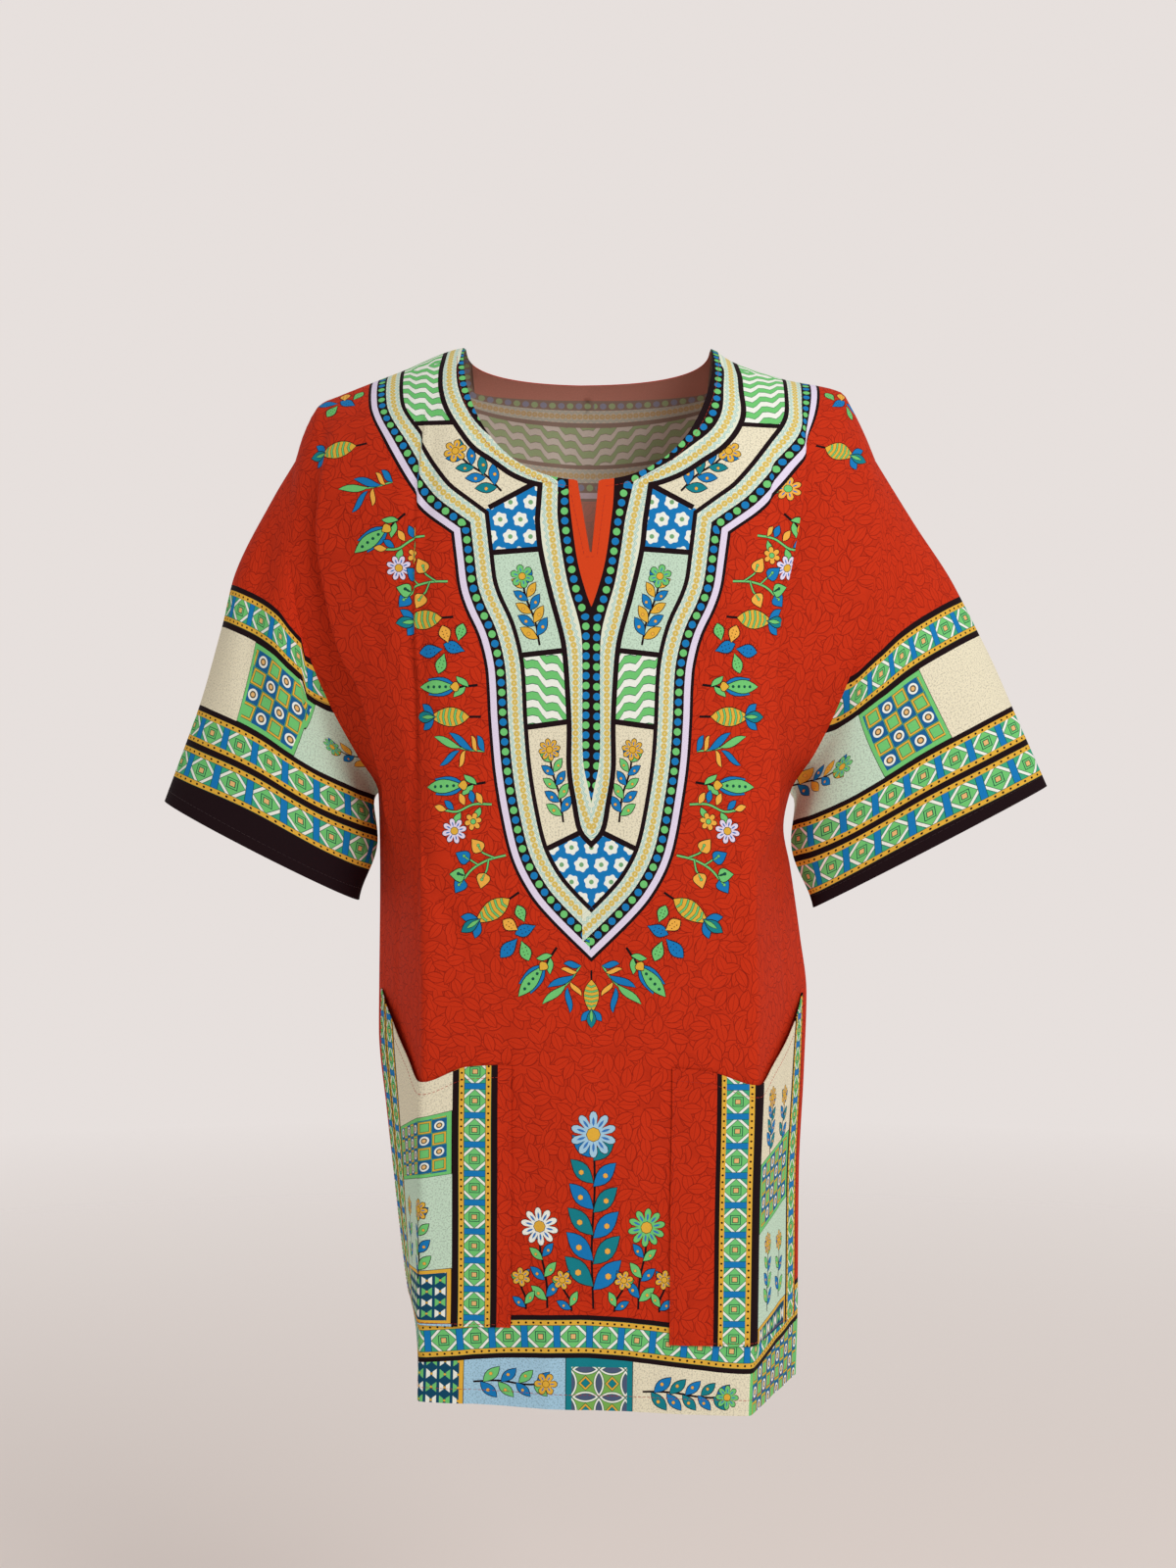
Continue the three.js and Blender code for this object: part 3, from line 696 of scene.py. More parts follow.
def bake_map(flat, reverse):
    """Places on the baked picture: the face on the left two thirds, the reverse beside it."""
    low, high = flat.min(0), flat.max(0)
    across = (flat[:, 0] - low[0]) / (high[0] - low[0])
    up = (flat[:, 1] - low[1]) / (high[1] - low[1])
    u = np.where(reverse, 0.675 + 0.32 * across, 0.005 + 0.655 * across)
    return np.stack([u, 0.005 + 0.99 * up], 1)


def regions_of(art, flat, triangles):
    """The last outline that each triangle lies in."""
    centres = flat[triangles].mean(1)
    chosen = np.zeros(len(triangles), int)
    for k, (_, outline, _, _, within) in enumerate(art.regions):
        held = inside(outline, centres)
        if within is not None:
            held &= inside(within, centres)
        chosen[held] = k
    return chosen


def rim_ways(outer, normal, rim):
    """The points on the rim, and the direction out of the cloth at each."""
    outward = np.zeros_like(outer)
    for a, b in rim:
        side_step = np.cross(outer[b] - outer[a], normal[a])
        outward[a] += side_step
        outward[b] += side_step
    on_rim = np.unique(rim)
    outward = outward[on_rim]
    return on_rim, outward / (np.linalg.norm(outward, axis=1)[:, None] + 1e-12)


def rim_strips(rim, on_rim, count):
    """Triangles of the turned rim, from the face over its middle line to the reverse."""
    slot_of = np.full(count, -1)
    slot_of[on_rim] = 2 * count + np.arange(len(on_rim))
    a, b = rim[:, 0], rim[:, 1]
    ma, mb = slot_of[a], slot_of[b]
    return np.concatenate([
        np.stack([b, a, ma], 1), np.stack([b, ma, mb], 1),
        np.stack([mb, ma, a + count], 1), np.stack([mb, a + count, b + count], 1),
    ])


def shell_of(flat, triangles, rim, place, facing, thickness):
    """A closed thin shell: its points, their normals, its faces, and each point's place on the flat cloth."""
    count = len(flat)
    normal = normals_of(place, flat, facing)
    outer = place(flat)
    deep = thickness(flat) if callable(thickness) else np.full(count, thickness)
    inner = outer - normal * deep[:, None]
    on_rim, outward = rim_ways(outer, normal, rim)
    middle = (outer + inner)[on_rim] / 2 + outward * RIM_BULGE
    points = np.concatenate([outer, inner, middle])
    normals = np.concatenate([normal, -normal, outward])
    faces = np.concatenate([triangles, triangles[:, ::-1] + count, rim_strips(rim, on_rim, count)])
    return points, normals, faces, np.concatenate([flat, flat, flat[on_rim]])


def paint_corners(art, styles, region_of, corners, flat):
    """The pattern's coordinates and the tint at each corner, and the material of each face."""
    pattern = np.zeros((len(corners), 2))
    tint = np.ones((len(corners), 4))
    material_index = np.zeros(len(region_of), np.int32)
    for k, (style, _, colour, frame_of, _) in enumerate(art.regions):
        mine = region_of == k
        if not mine.any():
            continue
        at_corners = np.repeat(mine, 3)
        held, where = np.unique(corners[at_corners], return_inverse=True)
        pattern[at_corners] = frame_of(flat[held])[where.ravel()]
        tint[at_corners, :3] = colour
        material_index[mine] = styles.index(style)
    return pattern, tint, material_index


def make_cloth(name, boundary, grid, art, place, facing, thickness, materials):
    """One piece of printed cloth as a closed thin shell."""
    flat, triangles = triangulate(boundary, art, grid)
    chosen = regions_of(art, flat, triangles)
    if facing < 0:
        triangles = triangles[:, ::-1]
    rim = rim_edges(triangles)
    points, normals, faces, flat_all = shell_of(flat, triangles, rim, place, facing, thickness)
    owner = np.zeros(len(flat), int)
    owner[triangles.ravel()] = np.repeat(chosen, 3)
    region_of = np.concatenate([chosen, chosen, np.tile(owner[rim[:, 0]], 4)])
    styles = sorted({region[0] for region in art.regions})
    corners = faces.ravel()
    pattern, tint, material_index = paint_corners(art, styles, region_of, corners, flat_all)
    reverse = np.zeros(len(corners), bool)
    reverse[triangles.size : 2 * triangles.size] = True
    tint[reverse, 3] = 0

    mesh = bpy.data.meshes.new(name)
    mesh.from_pydata((points * MM).tolist(), [], faces.tolist())
    for key, values in (("Pattern", pattern), ("OFBake", bake_map(flat_all[corners], reverse))):
        mesh.uv_layers.new(name=key).data.foreach_set("uv", values.astype(np.float32).ravel())
    tints = mesh.color_attributes.new("Tint", "FLOAT_COLOR", "CORNER")
    tints.data.foreach_set("color", tint.astype(np.float32).ravel())
    mesh.polygons.foreach_set("material_index", material_index)
    mesh.shade_smooth()
    mesh.normals_split_custom_set_from_vertices(normals.tolist())
    for style in styles:
        mesh.materials.append(materials[style])
    piece = bpy.data.objects.new(name, mesh)
    bpy.context.scene.collection.objects.link(piece)
    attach(piece, "root")
    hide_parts(name)
    return piece


# Sums written on shader nodes


class Term:
    """A number on a node tree, with the usual operators."""

    def __init__(self, tree, socket):
        self.tree = tree
        self.socket = socket

    def sum(self, operation, *others, clamp=False):
        node = self.tree.nodes.new("ShaderNodeMath")
        node.operation = operation
        node.use_clamp = clamp
        for socket, value in zip(node.inputs, (self, *others)):
            if isinstance(value, Term):
                self.tree.links.new(value.socket, socket)
            else:
                socket.default_value = value
        return Term(self.tree, node.outputs[0])

    def __add__(self, other):
        return self.sum("ADD", other)

    def __sub__(self, other):
        return self.sum("SUBTRACT", other)

    def __mul__(self, other):
        return self.sum("MULTIPLY", other)

    def __truediv__(self, other):
        return self.sum("DIVIDE", other)

    __radd__ = __add__
    __rmul__ = __mul__

    def __rsub__(self, other):
        return self * -1 + other

    def __abs__(self):
        return self.sum("ABSOLUTE")

    def cell(self, pitch):
        """Distance from the middle of a cell of this pitch."""
        return self.sum("FLOORED_MODULO", pitch) - pitch / 2

    def number(self, pitch):
        return (self / pitch).sum("FLOOR")

    def odd(self):
        return self.sum("FLOORED_MODULO", 2)

    def most(self, other):
        return self.sum("MAXIMUM", other)

    def least(self, other):
        return self.sum("MINIMUM", other)

    def far(self, other):
        return (self * self + other * other).sum("SQRT")

    def below(self, edge, soft=0.15):
        """1 below an edge and 0 above it."""
        return ((edge - self) / soft).sum("ADD", 0.5, clamp=True)

    def line(self, place, half):
        return abs(self - place).below(half)

    def sine(self):
        return self.sum("SINE")


class Paint:
    """A material of printed cotton, painted in layers over a first colour."""

    def __init__(self, name):
        self.material = bpy.data.materials.new(name)
        self.material.use_nodes = True
        self.tree = self.material.node_tree
        self.nodes = self.tree.nodes
        pattern = self.nodes.new("ShaderNodeUVMap")
        pattern.uv_map = "Pattern"
        self.place = pattern.outputs[0]
        apart = self.nodes.new("ShaderNodeSeparateXYZ")
        self.link(self.place, apart.inputs[0])
        self.s = Term(self.tree, apart.outputs[0])
        self.t = Term(self.tree, apart.outputs[1])
        tint = self.nodes.new("ShaderNodeVertexColor")
        tint.layer_name = "Tint"
        self.tint = tint.outputs["Color"]
        self.face = Term(self.tree, tint.outputs["Alpha"])
        self.colour = None

    def link(self, source, goal):
        self.tree.links.new(source, goal)

    def start(self, colour):
        """The first colour: a colour, or None for the tint."""
        if colour is None:
            self.colour = self.tint
            return self
        first = self.nodes.new("ShaderNodeRGB")
        first.outputs[0].default_value = (*colour, 1)
        self.colour = first.outputs[0]
        return self

    def over(self, mask, colour):
        """A colour laid where the mask is 1: a colour, or a socket."""
        mix = self.nodes.new("ShaderNodeMix")
        mix.data_type = "RGBA"
        self.link(mask.socket, mix.inputs[0])
        self.link(self.colour, mix.inputs[6])
        if isinstance(colour, tuple):
            mix.inputs[7].default_value = (*colour, 1)
        else:
            self.link(colour, mix.inputs[7])
        self.colour = mix.outputs[2]
        return self

    def shade(self, amount):
        """Multiplies the colour by a number."""
        scale = self.nodes.new("ShaderNodeVectorMath")
        scale.operation = "SCALE"
        self.link(self.colour, scale.inputs[0])
        self.link(amount.socket, scale.inputs["Scale"])
        self.colour = scale.outputs[0]
        return self

    def noise(self, scale, detail=2.0, rough=0.5):
        """A smooth random number about 0.5 over the flat cloth, with features about 1 / scale apart."""
        texture = self.nodes.new("ShaderNodeTexNoise")
        texture.noise_dimensions = "2D"
        texture.inputs["Scale"].default_value = scale
        texture.inputs["Detail"].default_value = detail
        texture.inputs["Roughness"].default_value = rough
        self.link(self.place, texture.inputs["Vector"])
        return Term(self.tree, texture.outputs[0])

    def finish(self):
        """Fades the reverse, adds the grain of the cotton, and joins the shader."""
        grey = self.nodes.new("ShaderNodeMix")
        grey.data_type = "RGBA"
        faded = REVERSE_FADE - self.face * REVERSE_FADE
        self.link(faded.socket, grey.inputs[0])
        self.link(self.colour, grey.inputs[6])
        grey.inputs[7].default_value = (*REVERSE_COLOUR, 1)
        self.colour = grey.outputs[2]
        self.shade(self.noise(0.9, 2.0) * 0.16 + 0.92)
        warp = (self.s * (math.tau / THREAD_PITCH)).sine()
        weft = (self.t * (math.tau / THREAD_PITCH)).sine()
        height = warp * weft * 0.5 + self.noise(0.35, 3.0) * 1.5
        bump = self.nodes.new("ShaderNodeBump")
        bump.inputs["Strength"].default_value = WEAVE_STRENGTH
        bump.inputs["Distance"].default_value = WEAVE_DEPTH
        self.link(height.socket, bump.inputs["Height"])
        shader = self.nodes["Principled BSDF"]
        self.link(self.colour, shader.inputs["Base Color"])
        self.link(bump.outputs[0], shader.inputs["Normal"])
        shader.inputs["Roughness"].default_value = COTTON_ROUGHNESS
        shader.inputs["Specular IOR Level"].default_value = COTTON_SHINE
        return self.material


def srgb(red, green, blue):
    """A screen colour from 0 to 255 as the light that it stands for."""
    shares = [value / 255 for value in (red, green, blue)]
    return tuple(((v + 0.055) / 1.055) ** 2.4 if v > 0.04 else v / 12.92 for v in shares)


RED = srgb(198, 50, 20)
RED_DARK = srgb(128, 24, 12)
ORANGE = srgb(212, 68, 28)
BLACK = srgb(30, 16, 20)
LILAC = srgb(226, 216, 238)
WHITE = srgb(238, 242, 232)
GREEN = srgb(112, 200, 116)
DARK_GREEN = srgb(18, 82, 66)
TEAL = srgb(22, 128, 140)
BLUE = srgb(24, 122, 188)
SKY = srgb(164, 204, 226)
MUSTARD = srgb(226, 176, 62)
TAN = srgb(232, 186, 120)
CREAM = srgb(230, 223, 196)
MINT = srgb(196, 222, 200)
PALE = srgb(226, 232, 210)
CHAIN_BLUE = srgb(150, 200, 196)
CHAIN_CREAM = srgb(214, 206, 158)
CHAIN_YELLOW = srgb(216, 188, 92)
ORANGE_YELLOW = srgb(238, 176, 72)
BLUE_SHADE = srgb(60, 120, 190)
REVERSE_COLOUR = srgb(222, 190, 170)
THREAD = srgb(178, 44, 22)
DARK_THREAD = srgb(52, 34, 38)
FLOWER_HEART = srgb(120, 170, 120)
EYE_GROUND = srgb(60, 168, 128)
CHECK_BLUE = srgb(28, 96, 150)
CHECK_RING = srgb(90, 80, 60)
WING_BLUE = srgb(20, 74, 104)
RING_GROUND = srgb(120, 176, 84)
RING_SLATE = srgb(78, 92, 120)
NO_TINT = (1, 1, 1)

# The room
ROOM_COLOUR = srgb(236, 229, 226)
ROOM_FADE = (-0.4, 0.5)
ROOM_WALL = 0.95
ROOM_FRONT = 0.55
FLOOR_COLOUR = srgb(240, 232, 226)
FLOOR_ROUGHNESS = 0.9
FLOOR_SIZE = 14
FLOOR_HEIGHT = -1.25
FLOOR_FADE = (0.6, 4.5)
# name, place, size, power
LIGHTS = [("key", (1.3, -2.2, 0.9), 1.2, 42), ("fill", (-1.8, -2.0, 0.2), 2.0, 3)]

# Cotton
COTTON_ROUGHNESS = 0.82
COTTON_SHINE = 0.08
THREAD_PITCH = 0.7
WEAVE_STRENGTH = 0.25
WEAVE_DEPTH = 0.0003
REVERSE_FADE = 0.5

# Spacing of the repeats
LEAF_LAYERS = [(0, 0), (31.7, 12.9), (7.3, 53.1)]
LEAF_PITCH = 14.0
DOT_PITCH = 7.2
ZIGZAG_PITCH = 5.2
CHAIN_PITCH = 4.6
FLOWER_PITCH = 14.8
FLOWER_ROWS = 12.6
WAVE_PITCH = 14.5
WAVE_ROWS = 11.5
WAVE_STEP = 8.0
STRIP_PITCH = 5.5
EYE_PITCH = 24.0
CHECK_PITCH = 12.0
WING_PITCH = 10.0
RING_PITCH = 20.4


def add_tonal_leaves(paint, shift):
    """Leaves that lie every way, one in each cell, outlined a little darker than the ground."""
    moved = paint.nodes.new("ShaderNodeVectorMath")
    moved.inputs[1].default_value = (*shift, 0)
    paint.link(paint.place, moved.inputs[0])
    cells = paint.nodes.new("ShaderNodeTexVoronoi")
    cells.voronoi_dimensions = "2D"
    cells.inputs["Scale"].default_value = 1 / LEAF_PITCH
    cells.inputs["Randomness"].default_value = 0.75
    paint.link(moved.outputs[0], cells.inputs["Vector"])
    apart = paint.nodes.new("ShaderNodeVectorMath")
    apart.operation = "SUBTRACT"
    paint.link(moved.outputs[0], apart.inputs[0])
    paint.link(cells.outputs["Position"], apart.inputs[1])
    offset = paint.nodes.new("ShaderNodeSeparateXYZ")
    paint.link(apart.outputs[0], offset.inputs[0])
    chance = paint.nodes.new("ShaderNodeSeparateColor")
    paint.link(cells.outputs["Color"], chance.inputs[0])
    angle = Term(paint.tree, chance.outputs[0]) * math.tau
    dx, dy = Term(paint.tree, offset.outputs[0]), Term(paint.tree, offset.outputs[1])
    cosine, sine = angle.sum("COSINE"), angle.sine()
    x = dx * cosine + dy * sine
    y = abs(dy * cosine - dx * sine)
    shape = y / 4.0 + x * x / 62.0
    paint.over(shape.below(1.0, 0.1), RED)
    paint.over(abs(shape - 1.0).below(0.08, 0.1) * 0.75, RED_DARK)
    paint.over(shape.below(0.9, 0.1) * y.below(0.18) * 0.6, RED_DARK)


def paint_plain(paint):
    paint.start(None)


def paint_ground(paint):
    paint.start(RED)
    paint.over(paint.noise(0.05, 2.0).below(0.5, 0.3) * 0.22, RED_DARK)
    for shift in LEAF_LAYERS:
        add_tonal_leaves(paint, shift)


def paint_speckle(paint):
    paint.start(None)
    paint.shade(1.04 - paint.noise(0.8, 3.0, 0.7).below(0.44, 0.06) * 0.3)


def paint_dots(paint):
    paint.start(BLACK)
    spot = paint.s.cell(DOT_PITCH).far(paint.t).below(2.7)
    paint.over(spot, GREEN)
    paint.over(spot * paint.s.number(DOT_PITCH).odd(), BLUE)


def paint_chain(paint):
    paint.start(PALE)
    zigzag = abs(paint.s.cell(ZIGZAG_PITCH)) * 0.8
    for far in (3.0, 4.3):
        paint.over(abs(abs(paint.t) - far + 1.0 - zigzag).below(0.32), CHAIN_BLUE)
    links = paint.s.cell(CHAIN_PITCH).far(paint.t)
    paint.over(links.below(2.35, 0.3), CHAIN_CREAM)
    paint.over(links.below(2.05, 0.35), CHAIN_YELLOW)
    paint.over(paint.s.cell(CHAIN_PITCH).far(paint.t * 1.6).below(0.8, 0.3) * 0.6, PALE)


def paint_flowers(paint):
    paint.start(BLUE)
    row = paint.t.number(FLOWER_ROWS)
    x = (paint.s + row.odd() * (FLOWER_PITCH / 2)).cell(FLOWER_PITCH)
    y = paint.t.cell(FLOWER_ROWS)
    petals = (y.sum("ARCTAN2", x) * 6).sine() * 0.5
    paint.over((x.far(y) - petals).below(5.1), WHITE)
    paint.over(x.far(y).below(1.7, 0.4), FLOWER_HEART)


def paint_waves(paint):
    paint.start(GREEN)
    stair = paint.s / WAVE_PITCH
    rise = ((stair - stair.sum("FLOOR") - 0.3) / 0.42).sum("ADD", 0, clamp=True)
    kick = abs(paint.s.cell(WAVE_PITCH)) * 0.22
    step = abs((paint.t - (stair.sum("FLOOR") + rise) * WAVE_STEP - kick).cell(WAVE_ROWS))
    paint.over(step.below(3.1), DARK_GREEN)
    paint.over(step.below(2.6), WHITE)


def paint_strip(paint):
    paint.start(MUSTARD)
    paint.over(paint.s.cell(STRIP_PITCH).far(paint.t).below(0.85), BLACK)
    paint.over(abs(paint.t).line(2.1, 0.25), DARK_GREEN)


def paint_eyes(paint):
    paint.start(EYE_GROUND)
    x, y = abs(paint.s.cell(EYE_PITCH)), abs(paint.t)
    lens = y / 11.2 + x / 11.2
    for edge, colour in ((1.14, DARK_GREEN), (1.09, WHITE), (0.85, DARK_GREEN), (0.80, GREEN)):
        paint.over(lens.below(edge, 0.03), colour)
    square = x.most(y)
    for half, colour in ((4.0, DARK_GREEN), (3.4, GREEN), (2.3, DARK_GREEN), (1.7, TAN)):
        paint.over(square.below(half), colour)
    paint.over((EYE_PITCH / 2 - x).below(2.7), DARK_GREEN)
    paint.over((EYE_PITCH / 2 - x).below(2.3), BLUE)


def paint_check(paint):
    paint.start(GREEN)
    x, y = paint.s.cell(CHECK_PITCH), paint.t.cell(CHECK_PITCH)
    square = abs(x).most(abs(y))
    other = (paint.s.number(CHECK_PITCH) + paint.t.number(CHECK_PITCH)).odd()
    for half, colour in ((5.7, DARK_GREEN), (5.3, MUSTARD), (4.0, DARK_GREEN), (3.6, GREEN)):
        paint.over(square.below(half), colour)
    paint.over(other, CHECK_BLUE)
    for radius, colour in ((4.0, WHITE), (2.5, CHECK_RING), (1.5, TAN)):
        paint.over(other * x.far(y).below(radius), colour)


def paint_wings(paint):
    paint.start(WING_BLUE)
    x, y = abs(paint.s.cell(WING_PITCH)), abs(paint.t.cell(WING_PITCH))
    other = (paint.s.number(WING_PITCH) + paint.t.number(WING_PITCH)).odd()
    wing = (y - 0.9 - x * 0.75).most(x - 3.9).most(0.9 - x)
    paint.over(wing.below(0), GREEN)
    paint.over(other * wing.below(0), WHITE)
    paint.over(x.far(y).below(0.9), MUSTARD)


def paint_rings(paint):
    paint.start(RING_GROUND)
    x, y = paint.s.cell(RING_PITCH), paint.t.cell(RING_PITCH)
    middle = abs(x) + abs(y)
    for half, colour in ((5.8, DARK_GREEN), (5.2, MUSTARD), (3.6, DARK_GREEN), (3.1, TEAL)):
        paint.over(middle.below(half), colour)
    upright = (abs(x) - RING_PITCH).far(y)
    level = x.far(abs(y) - RING_PITCH)
    petal = x.far(y).most(upright.least(level))
    for trim, colour in ((0, DARK_GREEN), (0.35, WHITE), (1.5, DARK_GREEN), (1.9, RING_SLATE)):
        paint.over(petal.below(RING_PITCH / math.sqrt(2) - trim), colour)


def make_materials():
    made = {}
    for style, paint_style in (
        ("plain", paint_plain), ("ground", paint_ground), ("speckle", paint_speckle),
        ("dots", paint_dots), ("chain", paint_chain), ("flowers", paint_flowers),
        ("waves", paint_waves), ("strip", paint_strip), ("eyes", paint_eyes), ("check", paint_check),
        ("wings", paint_wings), ("rings", paint_rings),
    ):
        paint = Paint("print_" + style)
        paint_style(paint)
        made[style] = paint.finish()
    return made


# The cut of each piece, as an outline on its flat cloth


def run_between(a, b, step=5.0):
    count = max(1, math.ceil(abs(b - a) / step))
    return [a + (b - a) * k / count for k in range(count)]


def neck_place(share, depth):
    """A place on the scoop of the neck, from the shoulder at 0 to the centre line at 1."""
    angle = share * math.pi / 2
    cut = NECK_HALF * max(0.0, math.cos(angle)) ** (2 / SCOOP_POWER)
    return cut, -depth * math.sin(angle) ** (2 / SCOOP_POWER)


def neck_edge(sign, front):
    depth = NECK_DEPTH if front else BACK_NECK_DEPTH
    shoulder = float(shoulder_z(np.float64(sign * NECK_HALF)))
    points = []
    for k in range(NECK_STEPS):
        cut, z = neck_place(k / NECK_STEPS, depth)
        if front and cut < SLIT_HALF:
            break
        points.append((sign * cut, float(rise_of(sign * cut, min(z, shoulder), front))))
    return points


def half_outline(sign, front):
    """One half of a panel's outline, from the hem's centre round to the neck's centre."""
    cuts = [(sign * cut, HEM) for cut in run_between(0, HALF_CUT)]
    top = float(shoulder_z(np.float64(sign * HALF_CUT)))
    seam_top = float(rise_of(sign * HALF_CUT, top, front))
    points = cuts + [(sign * HALF_CUT, rise) for rise in run_between(HEM, seam_top)]
    for cut in run_between(HALF_CUT, NECK_HALF, 3.5):
        points.append((sign * cut, float(rise_of(sign * cut, shoulder_z(sign * cut), front))))
    points.extend(neck_edge(sign, front))
    if front:
        neck_z = points[-1][1]
        for rise in run_between(neck_z - 1, SLIT_BOTTOM, 3.0) + [SLIT_BOTTOM]:
            share = (rise - SLIT_BOTTOM) / (neck_z - SLIT_BOTTOM)
            half = SLIT_FOOT + (SLIT_HALF - SLIT_FOOT) * share
            points.append((SLIT_LEAN + sign * half - SLIT_LEAN * share, rise))
    return points


def panel_outline(front):
    right = half_outline(1, front)
    left = half_outline(-1, front)
    return np.array(right + left[:0:-1])


def panel_grid():
    """Loose points: finer where the cloth is creased or folded."""
    cuts = list(np.arange(-HALF_CUT + 4, HALF_CUT - 2, STEP_ACROSS))
    for side in SIDES.values():
        places = [CREASE_CUT + k for k in (-3, -1.2, 0, 1.2, 3)]
        fold = side["fold_cut"]
        places += list(np.arange(fold - 5, fold + side["fold_behind"] + 6, 1.8))
        cuts.extend(side["sign"] * place for place in places)
    cuts = np.sort(cuts)
    cuts = cuts[np.concatenate([[True], np.diff(cuts) > 0.9])]
    rises = np.concatenate([np.arange(HEM + 3, UPPER_FROM, STEP_ALONG), np.arange(UPPER_FROM, 120, 4.5)])
    return [(cut, rise) for cut in cuts for rise in rises]


def sleeve_outline(side):
    half = SLEEVE_HALF - 0.3
    arounds = np.array(run_between(-half, half, 4.0) + [half])
    tops = sleeve_length(side, arounds)
    bottom = [(w, 0.0) for w in arounds]
    rising = [(half, p) for p in run_between(0, tops[-1], 5.0)[1:]]
    top = [(w, p) for w, p in zip(arounds[::-1], tops[::-1])]
    falling = [(-half, p) for p in run_between(tops[0], 0, 5.0)[1:]]
    return np.array(bottom + rising + top + falling)


def sleeve_grid():
    return [(w, p) for w in np.arange(-202, 203, 5.2) for p in np.arange(3, 340, 5.5)]


def pocket_outline(side, pocket):
    mouth = curve(pocket["mouth"], 1)
    inner, outer, bottom = pocket["inner"], pocket["outer"], pocket["bottom"]
    cuts = run_between(inner, outer, 4.0) + [outer]
    points = [(cut, bottom) for cut in cuts]
    points += [(outer, rise) for rise in run_between(bottom, float(mouth(outer)), 4.0)[1:]]
    points += [(cut, float(mouth(cut))) for cut in cuts[::-1]]
    points += [(inner, rise) for rise in run_between(float(mouth(inner)), bottom, 4.0)[1:]]
    points = np.array(points)
    return points if side["sign"] > 0 else (points * (-1, 1))[::-1]


def pocket_grid(side, pocket):
    cuts = np.arange(pocket["inner"] + 3, pocket["outer"], 4.5)
    return [(side["sign"] * cut, rise) for cut in cuts for rise in np.arange(pocket["bottom"] + 3, -495, 4.5)]


def pocket_thickness(side, pocket):
    """Thicker at the turned edges than over the pocket's face."""

    def at(flat):
        across = np.abs(flat[:, 0])
        near = np.minimum(across - pocket["inner"], pocket["outer"] - across)
        near = np.minimum(near, flat[:, 1] - pocket["bottom"])
        return 1.5 - 0.5 * smooth_step(2, 6, near)

    return at


# Small printed motifs, drawn about their own origin with x pointing away from their foot


def turned(points, at, angle, mirror=1):
    points = np.asarray(points, float) * (1, mirror)
    c, s = math.cos(angle), math.sin(angle)
    return points @ np.array([[c, s], [-s, c]]) + at


def grown(points, distance):
    """A closed outline made larger all round."""
    step = np.roll(points, -1, axis=0) - np.roll(points, 1, axis=0)
    step /= np.linalg.norm(step, axis=1)[:, None] + 1e-9
    area = (points[:, 0] * np.roll(points[:, 1], -1) - np.roll(points[:, 0], -1) * points[:, 1]).sum()
    return points + np.stack([step[:, 1], -step[:, 0]], 1) * distance * np.sign(area)


def leaf(at, angle, length, width, curl=0.0, blunt=1.0, count=7):
    """A leaf from its foot: pointed, or round at the far end when blunt is above 1."""
    t = np.linspace(0, 1, count)
    half = width / 2 * np.sin(np.pi * t**blunt)
    middle = curl * length * np.sin(np.pi * t / 2) ** 2
    upper = np.stack([t * length, middle + half], 1)
    lower = np.stack([t * length, middle - half], 1)[-2:0:-1]
    return turned(np.concatenate([upper, lower]), at, angle)


def disc(at, radius, count=8):
    angle = np.arange(count) * math.tau / count
    return np.stack([np.cos(angle), np.sin(angle)], 1) * radius + at


def bloom(at, radius, petals):
    """The outline of a flower with round petals."""
    angle = np.arange(petals * 6) * math.tau / (petals * 6)
    far = radius * (0.45 + 0.55 * np.abs(np.cos(petals * angle / 2)) ** 0.6)
    return np.stack([np.cos(angle), np.sin(angle)], 1) * far[:, None] + at


def ribbon(points, width):
    line = rounded(points, 4.0)
    return np.concatenate([inset(line, width / 2), inset(line, -width / 2)[::-1]])


class Motif:
    """Shapes of one motif, kept until they are put on the print."""

    def __init__(self):
        self.shapes = []

    def fill(self, points, tint, edge=0.5):
        if edge:
            self.shapes.append((grown(points, edge), BLACK))
        self.shapes.append((points, tint))
        return self

    def stem(self, points, tint, width=1.3):
        self.shapes.append((ribbon(points, width + 0.8), BLACK))
        self.shapes.append((ribbon(points, width), tint))
        return self

    def put(self, art, at, angle, scale=1.0, mirror=1):
        for points, tint in self.shapes:
            art.add("plain", turned(points * scale, at, angle, mirror), tint)


def flower(motif, at, radius, petals, tint, heart):
    motif.fill(bloom(at, radius, petals), tint)
    if radius > 6:
        for k in range(petals):
            angle = k * math.tau / petals
            start = np.add(at, (radius * 0.35 * math.cos(angle), radius * 0.35 * math.sin(angle)))
            motif.fill(leaf(start, angle, radius * 0.42, radius * 0.12, count=4), BLUE_SHADE, 0)
    motif.fill(disc(at, radius * 0.3), heart, 0.4)


def leaf_cluster():
    motif = Motif()
    places = [
        (2, 0, 0.35, 15, 8, BLUE), (6, 7, 1.9, 12, 7, GREEN), (13, 6, 1.3, 12, 8, ORANGE_YELLOW),
        (16, -1, -1.2, 14, 7.5, GREEN), (17, 2, -0.1, 17, 8.5, BLUE),
    ]
    for x, y, angle, length, width, tint in places:
        for k in range(9):
            t = 0.15 + 0.1 * k
            for side in (-1, 1):
                edge = turned([[t * length, side * width / 2 * math.sin(math.pi * t**1.3)]], (x, y), angle)[0]
                hair = leaf(edge, angle + side * 1.2, 1.7, 0.5, count=3)
                motif.shapes.append((hair, BLACK))
        motif.fill(leaf((x, y), angle, length, width, blunt=1.3, count=8), tint, 0.55)
        for k in range(3):
            for side in (-1, 1):
                spot = turned([[length * (0.35 + 0.17 * k), side * width * 0.16]], (x, y), angle)[0]
                motif.fill(disc(spot, 0.42, 5), BLACK, 0)
    return motif


